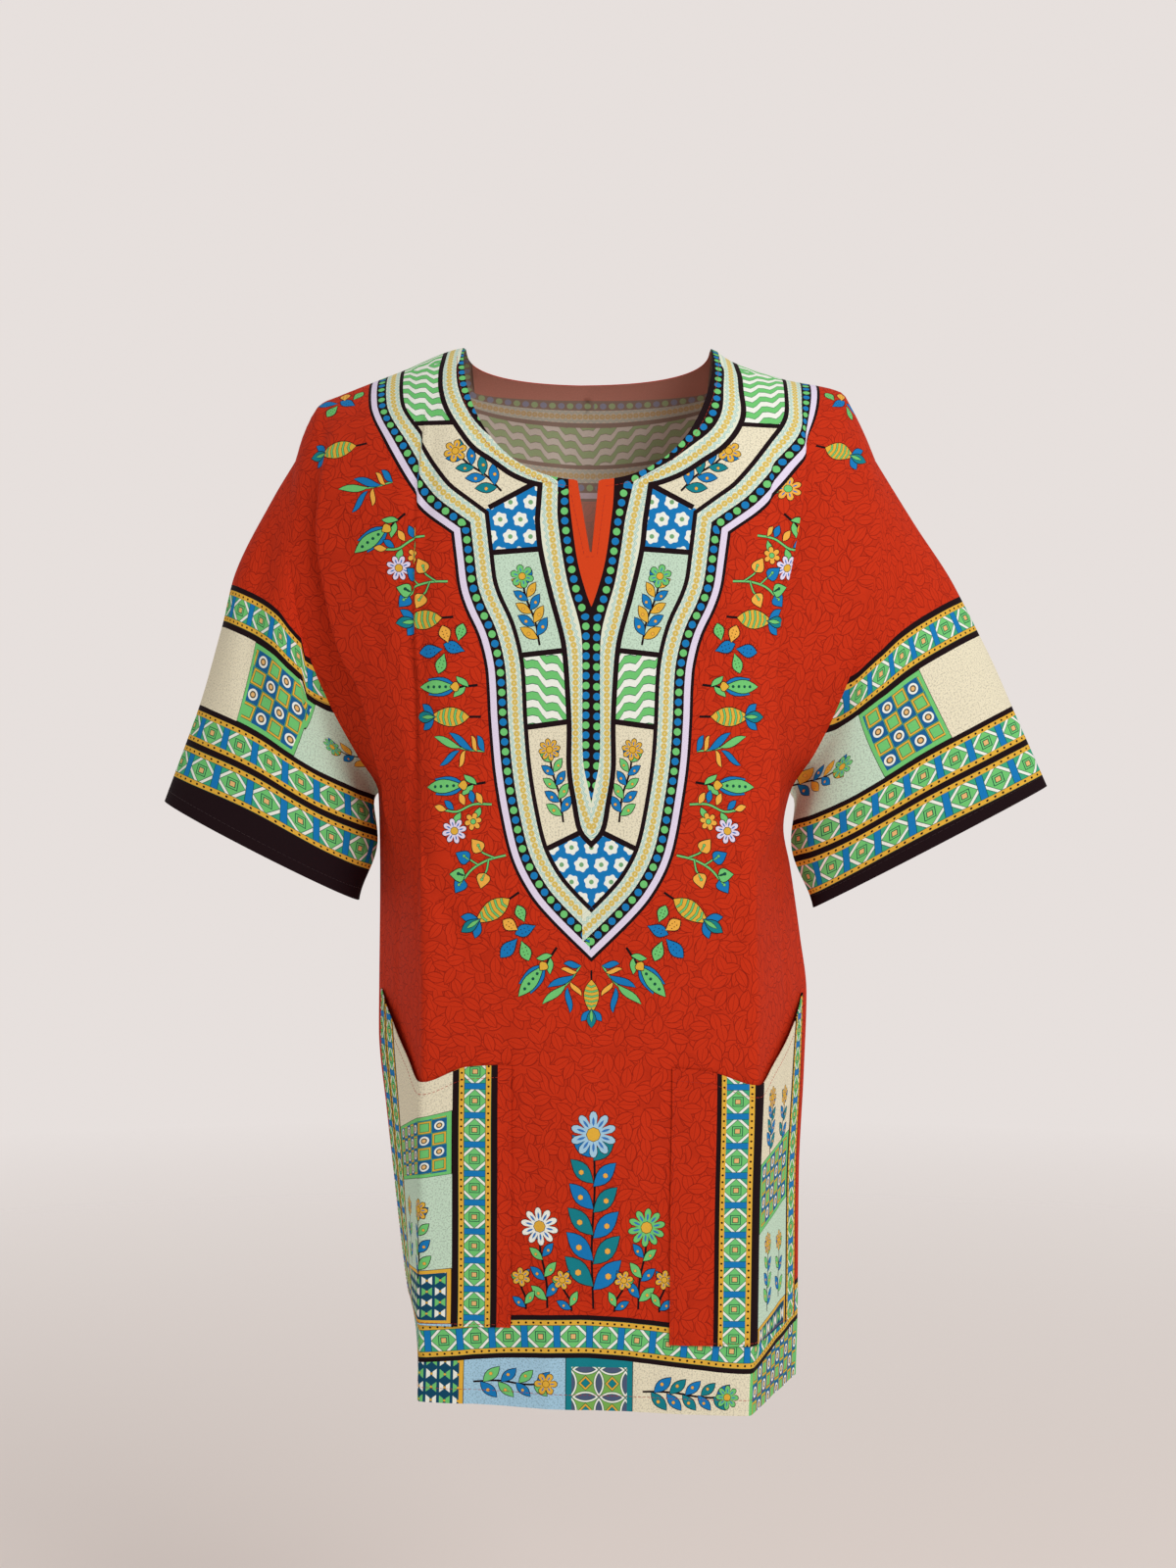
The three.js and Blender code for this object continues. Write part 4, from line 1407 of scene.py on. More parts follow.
def feather_curls():
    motif = Motif()
    motif.stem([(0, -1), (9, 0), (17, 2)], GREEN, 1.0)
    motif.fill(leaf((0, -1), 0.9, 11, 4.5, 0.3), BLUE)
    motif.fill(leaf((5, -1), 0.8, 10, 3.6, 0.5), ORANGE_YELLOW)
    motif.fill(leaf((8, 0), 0.45, 19, 5, 0.22), BLUE)
    motif.fill(leaf((16, 2), 0.2, 20, 5, 0.2), GREEN)
    motif.fill(leaf((13, 0), -0.8, 11, 3.6, -0.4), ORANGE_YELLOW)
    motif.fill(leaf((17, 0), -0.25, 16, 4.2, -0.35), BLUE)
    return motif


def heart_sprig():
    motif = Motif()
    motif.stem([(0, 0), (12, 2), (24, 1), (33, -3)], GREEN)
    motif.stem([(8, 2), (13, 7), (15, 10)], GREEN, 1.0)
    motif.stem([(12, 2), (16, -4), (19, -6)], GREEN, 1.0)
    motif.stem([(20, 2), (24, 8)], GREEN, 1.0)
    places = [
        (14, 9, 1.3, ORANGE_YELLOW, GREEN), (18, -5, -0.9, ORANGE_YELLOW, GREEN), (24, 7, 0.9, BLUE, GREEN),
        (33, -3, -0.6, BLUE, GREEN), (31, -1, 0.5, GREEN, DARK_GREEN),
    ]
    for x, y, angle, tint, heart in places:
        motif.fill(leaf((x, y), angle, 10.5, 9.0, blunt=0.6, count=8), tint, 0.55)
        motif.fill(leaf((x, y), angle, 5.5, 1.1, 0.15, count=4), heart, 0.25)
        motif.fill(disc(turned([[4.6, 0.8]], (x, y), angle)[0], 1.0, 6), heart, 0.25)
    return motif


def flower_branch():
    motif = Motif()
    motif.stem([(0, 2), (12, 5), (24, 3), (32, 6)], GREEN)
    for x, y, angle, tint in (
        (6, 4, 1.2, ORANGE_YELLOW), (12, 6, 1.5, BLUE), (18, 6, 1.3, ORANGE_YELLOW), (26, 5, 0.9, BLUE),
        (8, 2, -1.0, GREEN), (22, 2, -0.9, GREEN), (31, 6, 0.4, ORANGE_YELLOW),
    ):
        motif.fill(leaf((x, y), angle, 8.5, 4.2, 0.1), tint)
    flower(motif, (15, -6), 5.8, 6, ORANGE_YELLOW, GREEN)
    flower(motif, (29, -9), 8.4, 8, LILAC, MUSTARD)
    return motif


def small_bloom():
    motif = Motif()
    motif.stem([(-6, 3), (0, 0)], GREEN, 0.9)
    for turn in (2.2, -2.2):
        motif.fill(leaf((-1, 0), turn, 10, 4.5, 0.1), GREEN)
    flower(motif, (3, 0), 9.0, 7, ORANGE_YELLOW, GREEN)
    return motif


def striped_pod():
    """A tall seed pod: a striped husk, a blue cap with green bands, and a bow of leaves."""
    motif = Motif()
    motif.stem([(0, 0), (10, 0)], BLACK, 0.6)
    motif.fill(leaf((7, 0), 0, 25, 11, blunt=0.85, count=9), MUSTARD)
    for k in range(5):
        x = 11 + 3.6 * k
        high = 5.5 * math.sin(math.pi * ((x - 7) / 25) ** 0.85) - 0.4
        motif.fill(ribbon([(x, -high), (x + 1.2, 0), (x, high)], 1.1), GREEN, 0.25)
    for turn in (-0.65, 0.65):
        motif.fill(leaf((29, 0), turn, 11, 5.5, 0.1 * np.sign(turn)), BLUE)
    motif.fill(leaf((28, 0), 0, 14, 6.5, blunt=1.2), TEAL)
    motif.fill(leaf((29, 0), 0, 9, 2.2), GREEN, 0.3)
    return motif


def blue_bud():
    """A dark-stemmed bud with blue and green petals."""
    motif = Motif()
    motif.stem([(0, 1), (9, 0), (15, -1)], BLACK, 0.8)
    motif.fill(leaf((6, 0), 0.9, 10, 4, -0.2), GREEN)
    motif.fill(leaf((8, 0), -0.9, 10, 4, 0.2), GREEN)
    motif.fill(leaf((14, 0), 0.4, 20, 7, -0.15), BLUE)
    motif.fill(leaf((14, 0), -0.4, 20, 7, 0.15), BLUE)
    motif.fill(leaf((14, 0), 0, 26, 8.5, blunt=1.15, count=9), GREEN)
    for k in range(4):
        motif.fill(disc((21 + 4.2 * k, 0), 1.1, 6), DARK_GREEN, 0)
    motif.fill(leaf((12, 0), 0, 6, 6, blunt=0.7), MUSTARD)
    return motif


def plant(height, pairs, tints, top, petals, radius=6.5, leaves=10.5):
    """An upright plant: leaf pairs up a stem, and a flower at its top."""
    motif = Motif()
    motif.stem([(0, 0), (height * 0.35, 1.2), (height * 0.7, -1.0), (height, 0)], BLACK, 0.8)
    for k in range(pairs):
        x = height * (0.12 + 0.74 * k / max(1, pairs - 1))
        size = leaves * (1 - 0.3 * k / pairs)
        for side in (-1, 1):
            tint = tints[(k + (side > 0)) % len(tints)]
            motif.fill(leaf((x + side * 1.2, 0), side * 0.85, size, size * 0.45, -0.08 * side), tint, 0.6)
            heart = turned([[size * 0.5, 0]], (x + side * 1.2, 0), side * 0.85)[0]
            motif.fill(disc(heart, size * 0.08, 6), ORANGE_YELLOW, 0.2)
    flower(motif, (height, 0), radius, petals, top, MUSTARD)
    return motif


# The front's print. Its places are on the cloth before the knife folds were pressed in.

YOKE_CENTRE = 2.5
RING_SHIFT = 4.5  # the ring is printed a little to the wearer's left of the slit

# Right half of each outline: distance from the middle, and rise
YOKE_RING = [
    (178, 150), (176, 25), (175.5, -15), (174, -40), (170, -62), (163, -80), (153, -97), (139.5, -118.5),
    (127, -135), (118, -143.5), (110, -149.5), (102.5, -155),
]
YOKE_SHIELD = [
    (100.5, -172), (97.5, -195), (92, -212), (84, -230), (79, -250), (77.5, -267), (76.5, -295), (74, -327),
    (68.5, -361), (60.5, -393), (48, -417.5), (32, -437), (0, -468),
]
INNER_RING = [
    (112, 150), (114, 21), (116, -17), (115, -45), (111.8, -62.5), (104.3, -78.4), (93.5, -92.7),
    (79, -103), (64.5, -112.8), (50.3, -119), (42.5, -121),
]
INNER_SHIELD = [
    (41.5, -145), (39, -168), (32, -198.5), (24, -228.5), (21.5, -243.5), (20, -263), (18.5, -295),
    (18.6, -327), (15, -350.6), (10.2, -373), (0, -385),
]
DOTTED_RING = [
    (97, 150), (98.5, 12), (101.5, -12), (99.5, -41), (94.5, -62), (85, -77.5), (70, -90), (55, -101),
    (41, -109), (28, -117),
]
DOTTED_SHIELD = [
    (25.5, -139.5), (21.5, -169), (17, -193), (11, -213), (7.3, -230), (6.6, -252), (6.7, -295),
    (6.5, -315), (5.4, -327), (2.5, -340), (0, -352),
]
ORANGE_SHIELD = [(17.5, -80), (16.5, -124), (14.5, -145.5), (10, -176.5), (3.5, -200), (0, -209)]
DOTS_RING = [(94, 120), (96, 21), (97, -12), (95, -40), (90, -58.5), (81.5, -73), (67, -85.5), (52, -96)]
DOTS_SHIELD = [(22, -121), (20, -142), (16, -172), (11, -197), (6, -213), (4, -226), (4, -330), (0.5, -352)]
CHAIN_RING = [
    (104, 120), (106, 21), (107, -12), (106, -41), (101, -61), (92.5, -77), (81, -90), (70, -99),
    (56, -107), (40, -115),
]
CHAIN_SHIELD = [
    (33.5, -119), (32, -136), (29, -155), (24, -190), (17.5, -220), (12.5, -240), (11.7, -260),
    (11.5, -327), (8, -350), (0.5, -372),
]
# Lines between the yoke's panels, from the inner end to the outer, and the panel below each
DIVIDERS = [
    ((104, -71), (140, -69), "speckle", CREAM), ((41, -118), (71.5, -134.3), "flowers", NO_TINT),
    ((38, -166.7), (70, -169), "speckle", MINT), ((22, -241), (49.5, -244), "waves", NO_TINT),
    ((20, -293), (46.5, -296.5), "speckle", CREAM), ((8.5, -373.5), (30.5, -384), "flowers", NO_TINT),
]

# Motifs round the yoke: name, distance from the middle, rise, way that it points in degrees
RING_MOTIFS = [
    ("cluster", 183, -44, 15), ("pod", 175, -83, -8), ("feathers", 152, -114, -22), ("bud", 141, -140, -35),
    ("branch", 121, -158, -22), ("sprig", 105, -190, -10), ("pod", 101, -216, -4), ("cluster", 91, -241, -2),
    ("bud", 84, -267, 0), ("pod", 82, -289, 0), ("feathers", 80, -313, -2), ("bud", 79, -338, -3),
    ("branch", 74, -355, -14), ("sprig", 64, -390, -24), ("pod", 54, -417, -34), ("cluster", 40, -440, -42),
    ("bud", 25, -458, -50), ("feathers", 9, -470, -62),
]
MOTIFS = {
    "cluster": leaf_cluster, "pod": striped_pod, "feathers": feather_curls, "bud": blue_bud,
    "branch": flower_branch, "sprig": heart_sprig, "bloom": small_bloom,
}
MOTIF_SCALE = {"cluster": 1.1, "pod": 1.25, "feathers": 1.1, "bud": 1.15, "branch": 1.1, "sprig": 1.1,
               "bloom": 1.0}
# The fold at the left armhole would hide these feathers, so a bloom stands there, nearer the yoke
HIDDEN_LEFT = ("feathers", 152, -114, -22)
LEFT_BLOOM = ("bloom", 140, -119, -22)
# rise, place of the knife fold on the cut, width of the strip that it hides
SIDES["right"]["tuck_rows"] = [
    (60, 123, 0), (-45, 123, 0), (-85, 124, 5.5), (-200, 128, 6), (-260, 130, 14), (-330, 132, 16),
    (-400, 131, 10), (-450, 130, 0),
]
SIDES["left"]["tuck_rows"] = [(60, 132, 0), (-80, 132, 0), (-105, 132, 2.5), (-135, 132, 2.5), (-175, 132, 0)]
for side in SIDES.values():
    side["tuck"] = curves(side["tuck_rows"], ["place", "width"])


def worn(points):
    """From the print to the pressed cloth."""
    points = np.asarray(points, float)
    place, width = tuck_of(points[:, 0], points[:, 1])
    across = np.abs(points[:, 0])
    knots = place - TUCK_SOFT
    squeezed = knots + (across - knots) * 2 * TUCK_SOFT / (2 * TUCK_SOFT + width)
    beyond = np.where(across > place + TUCK_SOFT + width, across - width, squeezed)
    cut = np.where(across < knots, across, beyond)
    return np.stack([np.sign(points[:, 0]) * cut, points[:, 1]], 1)


def printed(points):
    """From the pressed cloth to the print."""
    place, width = tuck_of(points[:, 0], points[:, 1])
    across = np.abs(points[:, 0])
    share = np.clip((across - place + TUCK_SOFT) / (2 * TUCK_SOFT), 0, 1)
    return np.stack([np.sign(points[:, 0]) * (across + width * share), points[:, 1]], 1)


def middle_at(rise, shift):
    """Where the middle of the print lies: the inner bands wander as they near the neck."""
    return YOKE_CENTRE + shift * smooth_step(-150, -100, rise) * (1 - 1.15 * smooth_step(-85, -30, rise))


def both_halves(half, shift=0.0):
    """The whole line: down the right half and up the left."""
    half = np.asarray(half, float)
    mirrored = half[::-1] * (-1, 1)
    if abs(half[-1, 0]) < 0.01:
        mirrored = mirrored[1:]
    whole = np.concatenate([half, mirrored])
    whole[:, 0] += middle_at(whole[:, 1], shift)
    return whole


def half_line(ring, shield):
    return np.concatenate([rounded(ring, 5.0), rounded(shield, 5.0)])


def two_lines(half, shift=0.0):
    right = np.array(half, float)
    left = right * (-1, 1)
    for line in (right, left):
        line[:, 0] += middle_at(line[:, 1], shift)
    return [right, left]


def halves_of(line):
    """A whole line split at its lowest point into two that start at the top."""
    low = int(line[:, 1].argmin())
    return [line[: low + 1], line[low:][::-1]]


def add_in_halves(art, style, whole, paths):
    """A band that has its own coordinates on each side of the middle."""
    for line, path in zip(halves_of(whole), paths):
        foot = line[-1]
        back = spaced([foot, (foot[0], line[0, 1])], 5.0)[1:]
        art.add(style, np.concatenate([line, back]), frame=along([path]))


def add_yoke(art):
    whole = both_halves(half_line(YOKE_RING, YOKE_SHIELD))
    art.add("plain", whole, BLACK)
    art.add("plain", inset(whole, -2.3), LILAC)
    add_in_halves(art, "dots", inset(whole, -7), halves_of(inset(whole, -11)))
    add_in_halves(art, "chain", inset(whole, -15), halves_of(inset(whole, -20.5)))
    art.add("plain", inset(whole, -26), BLACK)
    panels = inset(whole, -29.2)
    art.add("waves", panels, frame=mirrored_frame)
    add_dividers(art, worn(panels))
    add_panel_plants(art)
    add_inner_ring(art)


def mirrored_frame(points):
    """The same coordinates on both sides of the yoke's middle."""
    return np.abs(points - (YOKE_CENTRE, 0)) * (1, -1)


def divider_ends(start, end):
    """Both ends of a panel's top edge, and a unit step along it."""
    start, end = np.array(start, float), np.array(end, float)
    return start, end, (end - start) / np.linalg.norm(end - start)


def add_dividers(art, keep):
    """The yoke's panels, from the top down, and a black line at the top of each."""
    for start, end, style, tint in DIVIDERS:
        start, _, run = divider_ends(start, end)
        inner = start - run * start[0] / run[0]
        outer = start + run * (240 - start[0]) / run[0]
        for sign in (1, -1):
            lower = [inner, outer, (240, -520), (0, -520)]
            lower = spaced(np.array(lower) * (sign, 1) + (YOKE_CENTRE, 0), 6, True)
            art.add(style, lower, tint, mirrored_frame, keep)
    for start, end, _, _ in DIVIDERS:
        start, end, run = divider_ends(start, end)
        for sign in (1, -1):
            line = np.array([start - run * 4, end + run * 4]) * (sign, 1) + (YOKE_CENTRE, 0)
            art.add("plain", np.concatenate([inset(line, 2), inset(line, -2)[::-1]]), BLACK, within=keep)


def add_panel_plants(art):
    for sign in (1, -1):
        for motif, at, angle, scale in (
            (plant(46, 4, [TEAL, BLUE], MUSTARD, 6, 8.5, 16), (66, -124), 41, 1.0),
            (plant(52, 5, [MUSTARD, BLUE], GREEN, 6, 8.5, 15), (38, -237), 76, 1.0),
            (plant(54, 5, [GREEN, BLUE], MUSTARD, 8, 8.0, 14), (21, -366), 79, 1.0),
        ):
            direction = math.radians(angle if sign > 0 else 180 - angle)
            motif.put(art, (YOKE_CENTRE + sign * at[0], at[1]), direction, scale, sign)


def add_inner_ring(art):
    inner = both_halves(half_line(INNER_RING, INNER_SHIELD), RING_SHIFT)
    art.add("plain", inner, BLACK)
    chain = two_lines(half_line(CHAIN_RING, CHAIN_SHIELD), RING_SHIFT)
    add_in_halves(art, "chain", inset(inner, -3.9), chain)
    dotted = both_halves(half_line(DOTTED_RING, DOTTED_SHIELD), RING_SHIFT)
    dots = two_lines(half_line(DOTS_RING, DOTS_SHIELD), RING_SHIFT)
    add_in_halves(art, "dots", dotted, dots)
    art.add("plain", both_halves(rounded(ORANGE_SHIELD, 5)), ORANGE)


def add_ring_motifs(art):
    for row in RING_MOTIFS:
        for sign in (1, -1):
            name, far, rise, degrees = LEFT_BLOOM if sign > 0 and row == HIDDEN_LEFT else row
            angle = math.radians(degrees if sign > 0 else 180 - degrees)
            MOTIFS[name]().put(art, (YOKE_CENTRE + sign * far, rise), angle, MOTIF_SCALE[name], sign)
    striped_pod().put(art, (YOKE_CENTRE, -474), -math.pi / 2)


# Lowest black line of the hem's band, from the wearer's right to the left
HEM_LINE = [(-262, -772), (-163, -770), (-125, -767), (-60, -761), (0, -758.5), (64, -763), (124, -767),
            (180, -761), (262, -752)]
BACK_RING_HALF, BACK_RING_DEPTH, BACK_RING_TOP = 178.0, 92.0, -14.0


def add_strip(art, line, low, high, style, tint=None, pitch=EYE_PITCH):
    """A printed strip that runs beside a line, between two distances to its left."""
    line = np.asarray(line, float)
    outline = np.concatenate([inset(line, low), inset(line, high)[::-1]])
    follow = along([inset(line, (low + high) / 2)])
    stretch = EYE_PITCH / pitch if style == "eyes" else 1.0
    art.add(style, outline, tint, lambda points: follow(points) * (stretch, 1))


def add_border(art, line, bottom, lines=(3.4, 3.4), eye=16.0, strip=4.5, pitch=EYE_PITCH):
    """Black line, dotted strip, eyes, dotted strip, black line."""
    place = bottom
    for width, style, tint in (
        (lines[0], "plain", BLACK), (strip, "strip", None), (eye, "eyes", None), (strip, "strip", None),
        (lines[1], "plain", BLACK),
    ):
        add_strip(art, line, place, place + width, style, tint, pitch)
        place += width
    return place


def box(low_x, low_y, high_x, high_y):
    return spaced([(low_x, low_y), (high_x, low_y), (high_x, high_y), (low_x, high_y)], 5.0, True)


def fitted(corners, width, height):
    """Coordinates that run from 0 to a width and a height over four corners, anticlockwise."""
    goal = np.array([(0, 0), (width, 0), (width, height), (0, height)], float)
    known = np.concatenate([np.asarray(corners, float), np.ones((4, 1))], 1)
    turn = np.linalg.lstsq(known, goal, rcond=None)[0]
    return lambda points: np.concatenate([points, np.ones((len(points), 1))], 1) @ turn


def add_check(art, corners, across, up, border=GREEN, edge=4.0):
    """A framed check of so many squares."""
    corners = np.asarray(corners, float)
    art.add("plain", spaced(corners, 4.0, True), BLACK)
    art.add("plain", spaced(shrunk(corners, 0.5), 4.0, True), border)
    held = shrunk(corners, edge)
    art.add("check", spaced(held, 4.0, True), frame=fitted(held, CHECK_PITCH * across, CHECK_PITCH * up))


def shrunk(corners, distance):
    """Four corners moved in by a distance."""
    middle = corners.mean(0)
    half = np.abs(corners - middle).max(0)
    return middle + (corners - middle) * (1 - distance / half)


def add_wings(art, corners, across, up, edge=3.5):
    corners = np.asarray(corners, float)
    art.add("plain", spaced(corners, 4.0, True), BLACK)
    art.add("plain", spaced(shrunk(corners, 0.5), 4.0, True), MUSTARD)
    held = shrunk(corners, edge)
    art.add("wings", spaced(held, 4.0, True), frame=fitted(held, WING_PITCH * across, WING_PITCH * up))


def add_hem(art):
    line = rounded(HEM_LINE, 6.0)
    art.add("plain", spaced([(-262, -810), (262, -810), (262, -752), (124, -764), (0, -757), (-262, -769)], 8,
                            True), BLACK)
    below = np.concatenate([[(-262, -812)], [(262, -812)], line[::-1]])
    keep = worn(below)

    def panel(style, left, right, tint=None, frame=None):
        art.add(style, box(left, -815, right, -740), tint, frame, keep)

    panel("speckle", -262, -150, CREAM)
    panel("plain", -152, -91.5, MUSTARD)
    panel("wings", -150, -94.5, frame=lambda points: points + (150, 800))
    panel("plain", -91.5, -91, BLACK)
    panel("speckle", -91, -16, SKY)
    panel("plain", -16.5, 34.5, BLACK)
    panel("plain", -16, 34, TEAL)
    art.add("rings", box(-12, -812, 30, -765), frame=lambda points: points + (12, 807.6), within=keep)
    panel("speckle", 34.5, 124, CREAM)
    panel("plain", 124, 262, GREEN)
    panel("check", 128, 246, frame=lambda points: points + (-128, 800))
    vine = plant(58, 4, [BLUE, GREEN], MUSTARD, 6, 9.0, 18)
    vine.put(art, (-84, -780), 0.03, 0.92)
    plant(68, 5, [TEAL, BLUE], GREEN, 8, 9.0, 18).put(art, (42, -782), -0.03, 0.95)
    add_border(art, line, 0.0)


def add_lower_plants(art):
    """A tall flowering plant with a middling and two small ones on each side, above the hem's band."""
    tall = plant(128, 6, [BLUE, TEAL], SKY, 10, 17.0, 30)
    tall.put(art, (4, -722), math.pi / 2, 1.0)
    for sign in (-1, 1):
        side_plant = plant(60, 4, [GREEN, BLUE], WHITE if sign < 0 else GREEN, 10, 14.0, 15)
        side_plant.put(art, (4 + sign * 34, -722), math.pi / 2 - sign * 0.1, 1.0, sign)
        small = plant(24, 2, [BLUE, GREEN], MUSTARD, 6, 7.0, 12)
        small.put(art, (4 + sign * 16, -724), math.pi / 2 - sign * 0.3, 1.0, sign)
        small.put(art, (4 + sign * 50, -724), math.pi / 2 - sign * 0.15, 1.0, sign)


def front_print():
    art = Print(worn, printed)
    art.add("ground", panel_outline(True), frame=lambda points: points, as_worn=True)
    add_ring_motifs(art)
    add_yoke(art)
    add_lower_plants(art)
    add_hem(art)
    for side in SIDES.values():
        rises = np.arange(60, -460, -6.0)
        for shift in (-TUCK_SOFT, TUCK_SOFT):
            art.line(np.stack([side["sign"] * (side["tuck"]["place"](rises) + shift), rises], 1))
    return art


def back_ring(distance):
    """Outline of the bands round the back of the neck, so far inside their outer edge."""
    across, down = BACK_RING_HALF - distance, BACK_RING_DEPTH - distance
    turns = np.linspace(0, -math.pi, 60)
    ring = np.stack([across * np.cos(turns), BACK_RING_TOP + down * np.sin(turns)], 1)
    whole = np.concatenate([[(across, 150)], ring, [(-across, 150)]])
    return whole + (YOKE_CENTRE, 0)


def back_print():
    """Nothing of the back shows: the ring goes on plainly round the neck, and the hem has the same band."""
    art = Print()
    art.add("ground", panel_outline(False))
    for distance, style, tint in (
        (0, "plain", BLACK), (2.3, "plain", LILAC), (7, "dots", None), (15, "chain", None),
        (26, "plain", BLACK), (29.2, "waves", None), (60, "plain", BLACK), (64, "chain", None),
        (75, "dots", None), (84, "plain", RED),
    ):
        ring = back_ring(distance)
        if style in ("dots", "chain"):
            middle = back_ring(distance + (4 if style == "dots" else 5.5))
            add_in_halves(art, style, ring, halves_of(middle))
        else:
            art.add(style, ring, tint, lambda points: np.abs(points) * (1, -1))
    line = rounded([(-262, -772), (0, -764), (262, -753)], 6.0)
    below = np.concatenate([[(-262, -812)], [(262, -812)], line[::-1]])
    for k, (style, tint) in enumerate([
        ("speckle", CREAM), ("check", None), ("speckle", SKY), ("rings", None), ("speckle", MINT),
        ("wings", None), ("speckle", CREAM),
    ]):
        left = -262 + 75 * k
        art.add("plain", box(left, -815, left + 75, -745), (GREEN, MUSTARD)[k % 2], within=below)
        art.add(style, box(left + 3, -815, left + 72, -745), tint,
                lambda points, left=left: points + (-left - 3, 801), below)
    add_border(art, line, 0.0)
    return art


# Bands of a sleeve, up from the cuff: each thing's top edge, and style
SIDES["left"]["bands"] = [
    (12.5, "plain"), (17, "strip"), (35, "eyes"), (39, "strip"), (43.5, "plain"), (47.5, "strip"),
    (64, "eyes"), (67.5, "strip"), (71.5, "plain"), (132, "panel"), (136.5, "plain"), (141, "strip"),
    (157.5, "eyes"), (161.5, "strip"), (166, "plain"),
]
SIDES["right"]["bands"] = [
    (28.5, "plain"), (33, "strip"), (50.5, "eyes"), (55, "strip"), (59.5, "plain"), (63.5, "strip"),
    (79.5, "eyes"), (83.5, "strip"), (87.5, "plain"), (150, "panel"), (154.5, "plain"), (159, "strip"),
    (175, "eyes"), (179, "strip"), (183, "plain"),
]
# Where the framed check starts and ends round the sleeve, low and high, from the top fold
SIDES["left"]["check"] = (79, 126, 90, 144)
SIDES["right"]["check"] = (74, 128, 79, 150)
# distance round, how far the bands sit off their level
SIDES["left"]["sag"] = curve([(-205, -2), (-110, 0), (0, -3), (60, -2), (110, 0), (205, -3)], 1)
SIDES["right"]["sag"] = curve([(-205, -4), (-110, 0), (0, -8), (40, -6), (110, 0), (205, -5)], 1)


def sleeve_sag(side, flat):
    """How far the bands are shifted along the sleeve, most past its soft tuck."""
    sag = side["sag"](flat[:, 0])
    if side["sign"] < 0:
        past = smooth_step(SLEEVE_TUCK - SLEEVE_TUCK_SOFT, SLEEVE_TUCK + SLEEVE_TUCK_SOFT, flat[:, 0])
        sag = sag - past * SLEEVE_TUCK_SHIFT * smooth_step(*SLEEVE_TUCK_RISES, flat[:, 1])
    return sag


def arc_of(side):
    """Real distance round the sleeve at the middle of its bands, for each place round it."""
    around = np.linspace(-SLEEVE_HALF, SLEEVE_HALF, 165)
    points = sleeve_point(side, np.stack([around, np.full_like(around, 80.0)], 1))
    run = np.concatenate([[0], np.cumsum(np.linalg.norm(np.diff(points, axis=0), axis=1))])
    return lambda w: np.interp(w, around, run - np.interp(0, around, run))


def sleeve_print(side):
    half = SLEEVE_HALF + 8
    arounds = np.linspace(-half, half, 108)
    arc = arc_of(side)

    def as_worn(points):
        return points + np.stack([0 * points[:, 0], sleeve_sag(side, points)], 1)

    def as_printed(points):
        return points - np.stack([0 * points[:, 0], sleeve_sag(side, points)], 1)

    def as_laid(points):
        return np.stack([arc(points[:, 0]), points[:, 1]], 1)

    art = Print(as_worn, as_printed)
    art.add("ground", sleeve_outline(side), frame=as_laid, as_worn=True)
    low = -20.0
    panel = None
    for high, style in side["bands"]:
        outline = np.concatenate([
            np.stack([arounds, np.full_like(arounds, low)], 1),
            np.stack([arounds[::-1], np.full_like(arounds, high)], 1),
        ])
        middle = (low + high) / 2
        if style == "panel":
            panel = (low, high)
            art.add("speckle", outline, CREAM)
        else:
            tint = BLACK if style == "plain" else None
            art.add(style, outline, tint, lambda points, middle=middle: np.stack(
                [arc(points[:, 0]) * EYE_PITCH / 27.0, (points[:, 1] - middle)], 1))
        low = high
    low, high = panel
    start_low, end_low, start_high, end_high = side["check"]
    for sign in (1, -1):
        mint = np.array([(end_low, low), (half, low), (half, high), (end_high, high)]) * (sign, 1)
        art.add("speckle", spaced(mint, 5.0, True), MINT)
        corners = np.array([(start_low, low), (end_low, low), (end_high, high), (start_high, high)])
        add_check(art, corners * (sign, 1), 4, 4)
        motif = plant(60, 4, [BLUE, MUSTARD], GREEN, 8, 10.0, 20)
        at = (sign * (end_high + 57), (low + high) / 2 - 3)
        motif.put(art, at, math.pi if sign > 0 else 0.0, 0.76, -sign)
    return art


# Columns of a pocket, out from its inner edge: each thing's outer edge, and style
POCKETS["right"]["columns"] = [
    (67.5, "red"), (72, "plain"), (76.5, "strip"), (92, "eyes"), (96.5, "strip"), (101, "plain"),
    (188, "panel"), (191, "plain"), (195, "strip"), (211, "eyes"), (215, "strip"), (218.5, "plain"),
    (222, "strip"), (245, "eyes"),
]
POCKETS["left"]["columns"] = [
    (95, "red"), (98.5, "plain"), (102, "strip"), (118.5, "eyes"), (122.5, "strip"), (131.5, "plain"),
    (206, "panel"), (209.5, "plain"), (213.5, "strip"), (229, "eyes"), (233, "strip"), (245, "plain"),
]
# rise at the panel column's inner edge, tilt, and what is printed below
POCKETS["right"]["rows"] = [(-480, -0.2, "cream"), (-577, -0.25, "check"), (-624, -0.18, "mint"),
                            (-694, -0.13, "wings"), (-736, -0.04, "sky")]
POCKETS["left"]["rows"] = [(-480, 0.2, "cream"), (-617, 0.22, "check"), (-668, 0.22, "mint"),
                           (-736, 0.14, "wings"), (-790, 0.0, "sky")]


def pocket_print(side, pocket):
    art = Print()
    sign = side["sign"]
    art.add("ground", pocket_outline(side, pocket))
    start = pocket["inner"] - 6
    for end, style in pocket["columns"]:
        middle = (start + end) / 2
        outline = box(min(sign * start, sign * end), -760, max(sign * start, sign * end), -480)
        if style == "panel":
            add_pocket_panel(art, pocket, sign, start, end)
        elif style != "red":
            tint = BLACK if style == "plain" else None
            art.add(style, outline, tint, lambda points, middle=middle: np.stack(
                [points[:, 1] * EYE_PITCH / 21.5, points[:, 0] - sign * middle], 1))
        start = end
    return art


